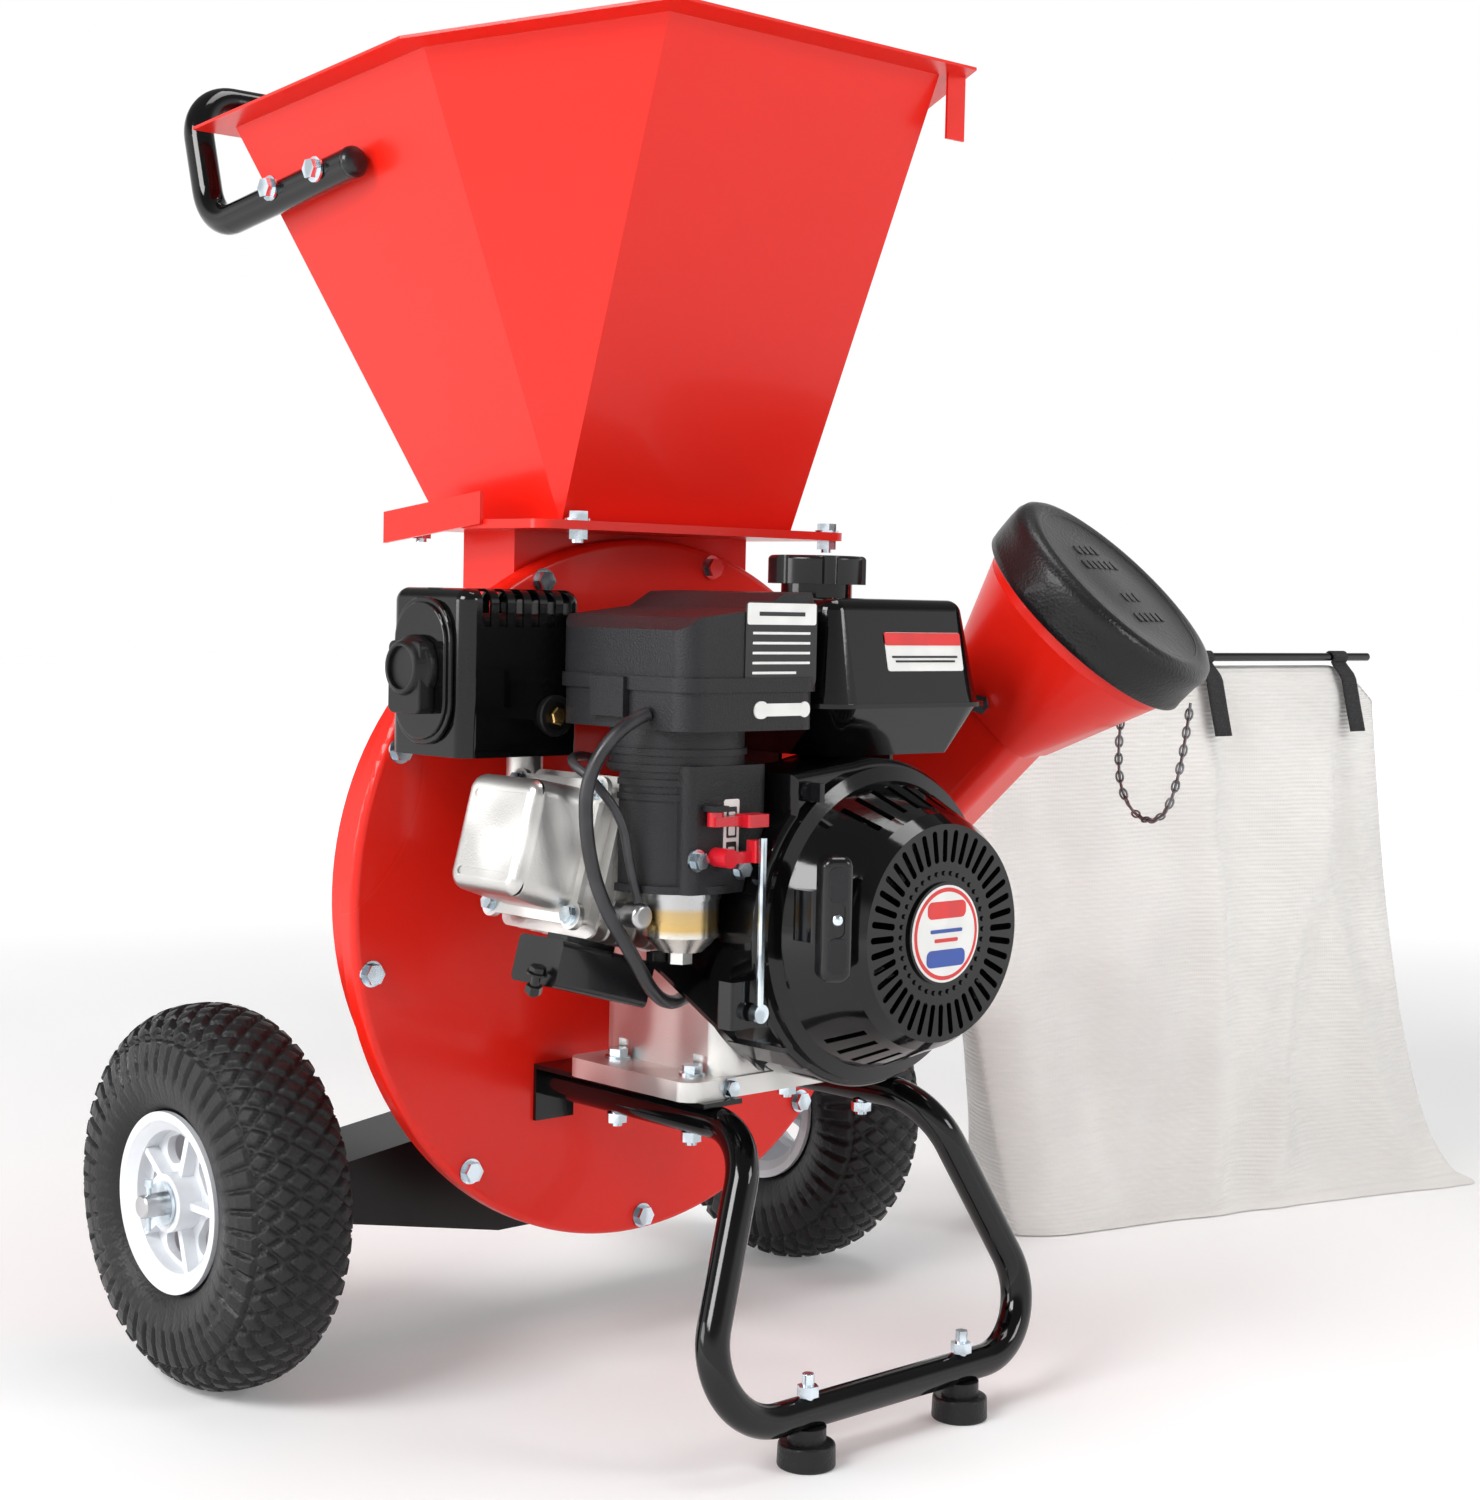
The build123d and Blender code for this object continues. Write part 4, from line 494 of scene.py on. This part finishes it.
def add_tyre(name, body):
    """A treaded tyre in place of the plain one."""
    low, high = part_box(name)
    middle = (low + high) / 2
    stations = tyre_stations((high.x - low.x) / 2, (high.z - low.z) / 2)
    reach = [0.0]
    for (x0, r0), (x1, r1) in zip(stations, stations[1:]):
        reach.append(reach[-1] + math.hypot(x1 - x0, r1 - r0))
    last = len(stations) - 1

    def point(u, v):
        j = round(v * last)
        x, r = stations[j]
        turn = 2 * math.pi * u
        x0, r0 = stations[max(0, j - 1)]
        x1, r1 = stations[min(last, j + 1)]
        slope = math.hypot(x1 - x0, r1 - r0) or 1
        if 3 < j < last - 3:
            ridges = ((0.0007, 0.086, 0.0012), (0.0006, 0.098, 0.001))
            ring = sum(rise * math.exp(-((r - radius) / wide) ** 2) for rise, radius, wide in ridges)
            lift = ring - tread_drop(turn, reach[j] - reach[-1] / 2)
            x, r = x - (r1 - r0) / slope * lift, r + (x1 - x0) / slope * lift
        return middle + Vector((x, r * math.cos(turn), r * math.sin(turn)))

    shape = grid(TYRE_COLUMNS, last, point, closed=True)
    made = piece(f"{name}_tread", shape, TYRE, body)
    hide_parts(name)


add_tyre("left_tyre", "left_wheel")
add_tyre("right_tyre", "right_wheel")

# ---- collection bag -----------------------------------------------------
BAG_TOP, BAG_CREST, COLLAR_TOP = 0.497, at(645, 0, 0).x, 0.404


def along_outline(outline, s):
    """The point at share s of an open outline, by x."""
    first, last = outline[0][0], outline[-1][0]
    x = first + (last - first) * s
    for (x0, y0), (x1, y1) in zip(outline, outline[1:]):
        if x <= x1 + 1e-9:
            return x, y0 + (y1 - y0) * (x - x0) / (x1 - x0)
    return outline[-1]


def bag_height(x):
    """The bag's top edge: a slope up from its mouth, then level, with a round far corner."""
    far = at(1014, 0, 0).x
    high = BAG_TOP
    if x < BAG_CREST:
        share = (BAG_CREST - x) / (BAG_CREST - at(360, 0, 0).x)
        high = BAG_TOP - (BAG_TOP - COLLAR_TOP) * max(0.0, share) ** 1.15
    if x > far - 0.085:
        high -= 0.036 * ((x - far + 0.085) / 0.085) ** 1.7
    return high


def folds(x, z, side):
    """How far the cloth stands out of its even shape: long soft folds and small crumples."""
    strain = 0.0
    for strap, lean in ((at(724, 0, 0).x, -0.10), (at(946, 0, 0).x, -0.42), (at(860, 0, 0).x, 0.15)):
        off = x - (strap + lean * (BAG_TOP - z))
        fade = min(1.0, (BAG_TOP - z) / 0.10)
        hollow = math.exp(-((off - 0.05) / 0.03) ** 2)
        strain += 0.011 * fade * math.exp(-(off / 0.022) ** 2) - 0.007 * fade * hollow
    slack = noise.noise(Vector((x * 8.5 + z * 3.0, z * 2.6, side * 5.0))) * 0.020
    crumple = noise.noise(Vector((x * 24, z * 13, side * 9.0))) * 0.004
    ridge = x - at(800, 0, 0).x - (z - 0.25) * 0.55
    slack += 0.013 * math.exp(-(ridge / 0.030) ** 2) * math.sin(math.pi * min(1.0, z / 0.42))
    mouth = math.sin((z - 0.20) * 95 + x * 22) * 0.003 * math.exp(-max(0.0, x - at(380, 0, 0).x) / 0.08)
    return strain + slack + crumple + mouth


def add_bag():
    """The mesh bag with its collar round the discharge duct."""
    floor_front = [at(*p, 0)[:2] for p in ((474, 20), (650, -22), (975, -112), (1014, -104))]
    floor_back = [at(*p, 0)[:2] for p in ((474, 110), (640, 140), (1014, 150))]
    top_front = [at(*p, 0)[:2] for p in ((360, 30), (640, 40), (1014, 42))]
    top_back = [at(*p, 0)[:2] for p in ((360, 62), (640, 52), (1014, 50))]

    def wall(side):
        floor, top = (floor_front, top_front) if side < 0 else (floor_back, top_back)

        def point(s, v):
            x0, y0 = along_outline(floor, s)
            x1, y1 = along_outline(top, s)
            high = bag_height(x1 + (x0 - x1) * 0.05)
            bulge = 0.028 * math.sin(math.pi * min(1.0, v * 1.02)) * math.sin(math.pi * min(1.0, 0.08 + s))
            x, z = x0 + (x1 - x0) * v ** 0.85, high * v
            edge = math.sin(math.pi * min(1.0, max(0.0, s))) ** 0.4
            down = min(1.0, v / 0.06) * min(1.0, (1 - v) / 0.05 + 0.05)
            out = folds(x, z, side) * edge * (0.25 + 0.75 * down)
            y = y0 + (y1 - y0) * (v ** (0.46 if side < 0 else 0.9))
            if side < 0:
                y -= bulge * 0.4
            y += side * out
            near = min(s, 1 - s) / 0.07
            if near < 1:
                low_y = (along_outline(floor_front, s)[1] * 0.8 + along_outline(floor_back, s)[1] * 0.2)
                top_y = (along_outline(top_front, s)[1] + along_outline(top_back, s)[1]) / 2
                seam = low_y + (top_y - low_y) * v ** 0.5
                if s < 0.5:
                    seam += side * 0.033 * min(1.0, max(0.0, (z - 0.19) / 0.07))
                share = math.sin(near * math.pi / 2) ** 0.8
                y = seam + (y - seam) * share
            if v > 0.93:
                ridge = (along_outline(top_front, s)[1] + along_outline(top_back, s)[1]) / 2
                y = ridge + (y - ridge) * math.sqrt(max(0.0, 1 - ((v - 0.93) / 0.07) ** 2))
            return Vector((x, y, max(0.0012, z)))
        return grid(150, 96, point)

    shape = wall(-1)
    back = wall(1)
    mesh = bpy.data.meshes.new("back")
    back.to_mesh(mesh)
    back.free()
    shape.from_mesh(mesh)
    bpy.data.meshes.remove(mesh)

    mouth_low, mouth_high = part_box("discharge_duct")
    collar_half_y = (mouth_high.y - mouth_low.y) / 2 + 0.004
    collar_half_z = 0.065 + 0.004
    collar_mid_y, collar_mid_z = (mouth_low.y + mouth_high.y) / 2, (mouth_low.z + mouth_high.z) / 2

    def collar(u, v):
        turn = 2 * math.pi * u
        flare = 1.01 + 0.05 * v ** 2 + 0.010 * math.sin(turn * 13) * (0.2 + v)
        y = math.copysign(abs(math.cos(turn)) ** 0.12, math.cos(turn)) * collar_half_y * flare
        z = math.copysign(abs(math.sin(turn)) ** 0.12, math.sin(turn)) * collar_half_z * flare
        return Vector((at(301, 0, 0).x + 0.085 * v, collar_mid_y + y, collar_mid_z + z))

    sleeve = grid(120, 14, collar, closed=True)
    sleeve.to_mesh(mesh := bpy.data.meshes.new("sleeve"))
    sleeve.free()
    shape.from_mesh(mesh)
    bpy.data.meshes.remove(mesh)
    bmesh.ops.remove_doubles(shape, verts=shape.verts, dist=0.0004)
    area = sum(face.calc_area() for face in shape.faces)
    made = piece("bag_cloth", shape, MESH, "bag")
    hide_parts("collection_bag")


def add_bag_straps():
    """Two webbing straps that hang the bag from its rod."""
    rod_low, rod_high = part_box("bag_rod")
    rod = (rod_low + rod_high) / 2
    for number, left in ((1, at(712, 0, 0).x), (2, at(934, 0, 0).x)):
        route = []
        for turn in range(-60, 241, 20):
            a = math.radians(turn)
            route.append((rod.y + 0.0062 * math.cos(a), rod.z + 0.0062 * math.sin(a)))
        route = route[3:]
        route += [(rod.y - 0.0150, rod.z - 0.018), (rod.y - 0.0215, rod.z - 0.045),
                  (rod.y - 0.0285, rod.z - 0.072)]

        def point(u, v):
            place = v * (len(route) - 1)
            i = min(int(place), len(route) - 2)
            share = place - i
            y = route[i][0] + (route[i + 1][0] - route[i][0]) * share
            z = route[i][1] + (route[i + 1][1] - route[i][1]) * share
            return Vector((left + 0.024 * u + 0.0006 * math.sin(v * 9), y, z))
        shape = grid(6, 48, point)
        made = piece(f"bag_strap_{number}", shape, WEBBING, "bag")
        thick = made.modifiers.new("thick", "SOLIDIFY")
        thick.thickness = 0.0018
        thick.offset = -1


add_bag()
add_bag_straps()

# ---- labels -------------------------------------------------------------
def add_labels():
    """Plain stickers: a white film with ink bars where the words would be."""
    low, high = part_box("air_cleaner_lid")
    shape = bmesh.new()
    face_y = low.y + 0.0018
    centre = Vector((low.x + 0.0815, face_y, low.z + 0.0475))
    slab(shape, X, Z, -Y, centre, 0.062, 0.052, 0.0005, 0.003, material=1)
    slab(shape, X, Z, -Y, centre + Z * 0.0185, 0.060, 0.0135, 0.0007, 0.0015, material=0)
    slab(shape, X, Z, -Y, centre + Z * 0.0185, 0.040, 0.0026, 0.0008, 0.0003, material=1)
    for i in range(5):
        line = centre + Z * (0.0065 - 0.0062 * i) - X * 0.006 * (i == 4)
        slab(shape, X, Z, -Y, line, 0.050 - 0.012 * (i == 4), 0.0016, 0.0007, 0.0003, material=0)
    piece("cleaner_label", shape, [LABEL, LABEL_INK], "cleaner_lid", smooth=False)

    low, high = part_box("recoil_cover")
    shape = bmesh.new()
    hub = Vector((at(0, 0, 0).x, low.y, 0.340))
    for radius, thick, material in ((0.0312, 0.0005, 0), (0.0296, 0.0007, 1), (0.0270, 0.0009, 0)):
        lathe(shape, hub, -Y, [(-0.002, 0), (-0.002, radius), (thick, radius), (thick, 0)], 72, material)
    slab(shape, X, Z, -Y, hub + Z * 0.0155, 0.036, 0.011, 0.0011, 0.004, material=1)
    slab(shape, X, Z, -Y, hub - Z * 0.0155, 0.036, 0.011, 0.0011, 0.004, material=2)
    slab(shape, X, Z, -Y, hub + Z * 0.002, 0.030, 0.0024, 0.0011, 0.001, material=2)
    slab(shape, X, Z, -Y, hub - Z * 0.004, 0.022, 0.0024, 0.0011, 0.001, material=1)
    piece("starter_badge", shape, [LABEL, LABEL_RED, LABEL_BLUE], "chassis", smooth=False)

    shape = bmesh.new()
    face_y = at(0, -216, 0).y
    centre = Vector((at(-117, 0, 0).x, face_y - 0.0001, 0.405))
    slab(shape, X, Z, -Y, centre, 0.013, 0.040, 0.0005, 0.0015, material=0)
    for rise in (0.011, 0.0, -0.011):
        slab(shape, X, Z, -Y, centre + Z * rise, 0.0085, 0.0085, 0.0007, 0.0008, material=1)
        slab(shape, X, Z, -Y, centre + Z * rise, 0.0055, 0.0022 if rise else 0.0055, 0.0009, 0.0008, material=0)
    piece("elbow_label", shape, [LABEL, LABEL_INK], "chassis", smooth=False)

    shape = bmesh.new()
    lean = Vector((0, -math.cos(math.radians(12)), math.sin(math.radians(12))))
    rise = lean.cross(X) * -1 if lean.cross(X).z < 0 else lean.cross(X)
    seam_y, seam_z = at(0, -228, 0).y, 0.482
    centre = Vector((at(52, 0, 0).x, seam_y, seam_z)) + rise * 0.036
    slab(shape, X, rise, lean, centre - lean * 0.0004, 0.074, 0.026, 0.0009, 0.002, material=0)
    slab(shape, X, rise, lean, centre + rise * 0.0085, 0.074, 0.0085, 0.0008, 0.001, material=1)
    slab(shape, X, rise, lean, centre - rise * 0.0035, 0.064, 0.0014, 0.0008, 0.0003, material=2)
    slab(shape, X, rise, lean, centre - rise * 0.0065, 0.058, 0.0014, 0.0008, 0.0003, material=2)
    piece("tank_label", shape, [LABEL, LABEL_RED, LABEL_INK], "chassis", smooth=False)

    low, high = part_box("air_cleaner_base")
    shape = bmesh.new()
    centre = Vector((high.x - 0.034, low.y - 0.0001, low.z + 0.013))
    slab(shape, X, Z, -Y, centre, 0.046, 0.008, 0.0007, 0.0038)
    slab(shape, X, Z, -Y, centre - X * 0.019, 0.012, 0.011, 0.0009, 0.0050)
    slab(shape, X, Z, -Y, centre + X * 0.019, 0.009, 0.010, 0.0009, 0.0045)
    piece("tool_mark", shape, [LABEL], "chassis", smooth=False)


add_labels()


# ---- engine trim --------------------------------------------------------
def add_muffler_trim():
    """The guard's raised oval ring and boxed outlet, and the port with its brass nut."""
    low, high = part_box("muffler_guard")
    mid_y, mid_z = (low.y + high.y) / 2, at(0, 0, 500).z
    shape = bmesh.new()
    for wide, high_side, thick, corner in ((0.060, 0.094, 0.0035, 0.028), (0.054, 0.088, 0.0055, 0.026)):
        middle = Vector((low.x - 0.0002, mid_y, mid_z))
        slab(shape, Y, Z, -X, middle, wide, high_side, thick, corner, steps=10)
    ring = piece("muffler_ring", shape, BLACK, "chassis", smooth=False)
    bevelled(ring, 0.0012, 3)

    shape = bmesh.new()
    slab(shape, Y, Z, -X, Vector((low.x - 0.0055, mid_y, mid_z - 0.004)), 0.034, 0.046, 0.012, 0.005)
    lathe(shape, Vector((low.x - 0.0055, mid_y, mid_z + 0.002)), -X,
          [(0, 0.0), (0, 0.021), (0.006, 0.021), (0.008, 0.0195), (0.0150, 0.0165), (0.0155, 0.0135),
           (0.006, 0.0125), (0.006, 0.0)], 40)
    outlet = piece("muffler_outlet", shape, SATIN, "chassis", smooth=False)
    bevelled(outlet, 0.0012, 2)

    shape = bmesh.new()
    face = Vector((high.x - 0.024, low.y, low.z + 0.026))
    lathe(shape, face, -Y, [(-0.0005, 0.0), (-0.0005, 0.0135), (0.0035, 0.0135), (0.0045, 0.0125),
                            (0.0045, 0.0095), (0.002, 0.009), (0.002, 0.0)], 36, 0)
    nut = [(0.0015, 0.0), (0.0015, 0.0062), (0.0062, 0.0062), (0.0070, 0.0052), (0.0070, 0.0)]
    lathe(shape, face, -Y, nut, 6, 1)
    piece("muffler_port", shape, [SATIN, BRASS], "chassis", smooth=False)


def carburettor_finish():
    """Grey body above, a bowl with a gold passivated band below."""
    made = surface("carburettor_alloy", (0.62, 0.61, 0.58), 0.26, metallic=1.0, drift=0.15, patch=40,
                   grain=600, depth=0.00008)
    tree = made.node_tree
    split = new_node(tree, "SeparateXYZ")
    tree.links.new(object_place(tree), split.inputs["Vector"])
    height = spread(tree, split.outputs["Z"], 0, 1, 0.318, 0.370)
    bands = new_node(tree, "ValToRGB")
    stops = ((0.0, (0.75, 0.74, 0.72)), (0.36, (0.70, 0.68, 0.62)), (0.48, (0.62, 0.42, 0.16)),
             (0.78, (0.55, 0.40, 0.20)), (0.86, (0.5, 0.5, 0.5)))
    for (position, colour), stop in zip(stops, [*bands.color_ramp.elements, None, None, None]):
        stop = stop or bands.color_ramp.elements.new(position)
        stop.position = position
        stop.color = (*colour, 1)
    tree.links.new(height, bands.inputs["Fac"])
    tree.links.new(bands.outputs["Color"], tree.nodes["Principled BSDF"].inputs["Base Color"])
    return made


def add_pull_rivet():
    """The silver rivet in the pull handle and its two moulded hollows."""
    pull = Vector((-0.5, -math.sqrt(0.75), 0))
    across = Vector((math.sqrt(0.75), -0.5, 0))
    face = at(-86.5, -276, 355) + pull * 0.016
    shape = bmesh.new()
    for rise in (0.022, -0.022):
        slab(shape, across, Z, pull, face + Z * rise - pull * 0.0002, 0.0120, 0.022, 0.0012, 0.0045)
    bevelled(piece("pull_pads", shape, LID, "pull_grip", smooth=False), 0.0008, 2)
    shape = bmesh.new()
    head = [(0, 0), (0, 0.0042), (0.0012, 0.0040), (0.0026, 0.0026), (0.003, 0)]
    lathe(shape, face - pull * 0.0022, pull, head, 24)
    piece("pull_rivet", shape, ZINC, "pull_grip")


def add_cap():
    """A smooth moulded rubber cap, dished a little, with a ring and plain bars where words would be."""
    rim = CHUTE_ROOT + CHUTE_AXIS * (CHUTE_LENGTH - 0.032)
    deep, reach, steps = 0.038, 0.0915, 120
    outline = [(0.0260, 0.0002), (0.0260, 0.0806), (0.0006, 0.0806), (0.0, 0.0816), (0.0, 0.0886),
               (0.0008, 0.0900), (0.006, 0.0908), (deep * 0.55, reach), (deep - 0.009, reach - 0.0004),
               (deep - 0.004, reach - 0.0024),
               (deep - 0.0012, reach - 0.0060), (deep, reach - 0.0105), (deep - 0.0004, reach - 0.016),
               (deep - 0.0014, 0.070), (deep - 0.0016, 0.04), (deep - 0.0012, 0.0002)]
    shape = bmesh.new()
    lathe(shape, rim, CHUTE_AXIS, outline, steps)
    for vert in shape.verts:
        off = vert.co - rim
        height = off.dot(CHUTE_AXIS)
        flat = off - CHUTE_AXIS * height
        if flat.length > 0.086 and height < 0.028:
            turn = math.atan2(flat.dot(CHUTE_UP), flat.dot(CHUTE_ACROSS))
            wave = 0.5 + 0.5 * math.cos(turn * 5 + 0.6)
            vert.co -= flat.normalized() * 0.0026 * wave * math.sin(math.pi * height / 0.028)
    made = piece("rubber_cap", shape, RUBBER, "cap")
    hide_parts("chute_cap")

    face = rim + CHUTE_AXIS * (deep - 0.0016)
    shape = bmesh.new()
    ring = [(-0.0004, 0.0722), (0.0010, 0.0727), (0.0010, 0.0745), (-0.0004, 0.0750)]
    lathe(shape, face, CHUTE_AXIS, ring, 90)
    across, up = CHUTE_ACROSS, CHUTE_UP
    for rise, wide in ((0.036, 0.052), (0.021, 0.066), (-0.012, 0.040), (-0.032, 0.058)):
        count = int(wide / 0.011)
        for i in range(count):
            spot = face + up * rise + across * (0.011 * (i - (count - 1) / 2)) - CHUTE_AXIS * 0.0004
            slab(shape, across, up, CHUTE_AXIS, spot, 0.0075, 0.0085, 0.0012, 0.0022)
    bevelled(piece("cap_relief", shape, RUBBER, "cap", smooth=False), 0.0004, 2)


def add_handle_plugs():
    """Domed plugs that close the two ends of the tow handle's tube."""
    for side in (-1, 1):
        end, bend = at(200 * side, 86, 840.4), at(201 * side, 262, 812)
        shape = bmesh.new()
        dome = [(-0.006, 0.0), (-0.006, 0.0092), (0.0, 0.0092), (0.0004, 0.0112), (0.0030, 0.0108),
                (0.0058, 0.0088), (0.0074, 0.0050), (0.0078, 0.0)]
        lathe(shape, end, end - bend, dome, 36)
        name = f"handle_plug_{'left' if side < 0 else 'right'}"
        piece(name, shape, SMOOTH_PLASTIC, "chassis")


repaint(NODES["carburettor"], carburettor_finish())
add_muffler_trim()
add_handle_plugs()
add_pull_rivet()
add_cap()


# ---- floor, light, world ------------------------------------------------
def add_stage():
    """The white floor that brightens with distance, the lamps and the world."""
    shape = bmesh.new()
    bmesh.ops.create_grid(shape, x_segments=1, y_segments=1, size=14)
    mesh = bpy.data.meshes.new("floor")
    shape.to_mesh(mesh)
    shape.free()
    floor = bpy.data.objects.new("floor", mesh)
    bpy.context.scene.collection.objects.link(floor)
    paper = surface("floor_paper", (0.93, 0.93, 0.93), 0.8, drift=0.01, patch=2, grain=60, depth=0.00002)
    tree = paper.node_tree
    reach = new_node(tree, "VectorMath", operation="LENGTH")
    tree.links.new(object_place(tree), reach.inputs[0])
    shader = tree.nodes["Principled BSDF"]
    shader.inputs["Emission Color"].default_value = (1, 1, 1, 1)
    glow = spread(tree, reach.outputs["Value"], 0.12, 0.84, 0.7, 4.0)
    tree.links.new(glow, shader.inputs["Emission Strength"])
    mesh.materials.append(paper)

    world = bpy.data.worlds.new("studio")
    world.use_nodes = True
    tree = world.node_tree
    sky = tree.nodes["Background"]
    sky.inputs["Color"].default_value = (1, 1, 1, 1)
    place = new_node(tree, "TexCoord")
    split = new_node(tree, "SeparateXYZ")
    tree.links.new(place.outputs["Generated"], split.inputs["Vector"])
    tree.links.new(spread(tree, split.outputs["Z"], 1.0, 0.2, 0.24, 0.5), sky.inputs["Strength"])
    bpy.context.scene.world = world

    for name, place, size, power in (
            ("key", (-2.7, -0.3, 2.0), 1.3, 54), ("front", (0.9, -2.9, 1.9), 1.0, 20),
            ("left", (-2.9, 1.2, 0.9), 1.2, 18), ("top", (0.3, -0.3, 3.2), 1.6, 32)):
        lamp = bpy.data.lights.new(name, "AREA")
        lamp.shape = "RECTANGLE"
        lamp.size = size
        lamp.size_y = size * 0.7
        lamp.energy = power
        holder = bpy.data.objects.new(name, lamp)
        holder.location = place
        aim = Vector((-0.2, 0, 0.45)) - Vector(place)
        holder.rotation_euler = aim.to_track_quat("-Z", "Y").to_euler()
        bpy.context.scene.collection.objects.link(holder)


add_stage()
bpy.context.scene.view_settings.view_transform = "Standard"
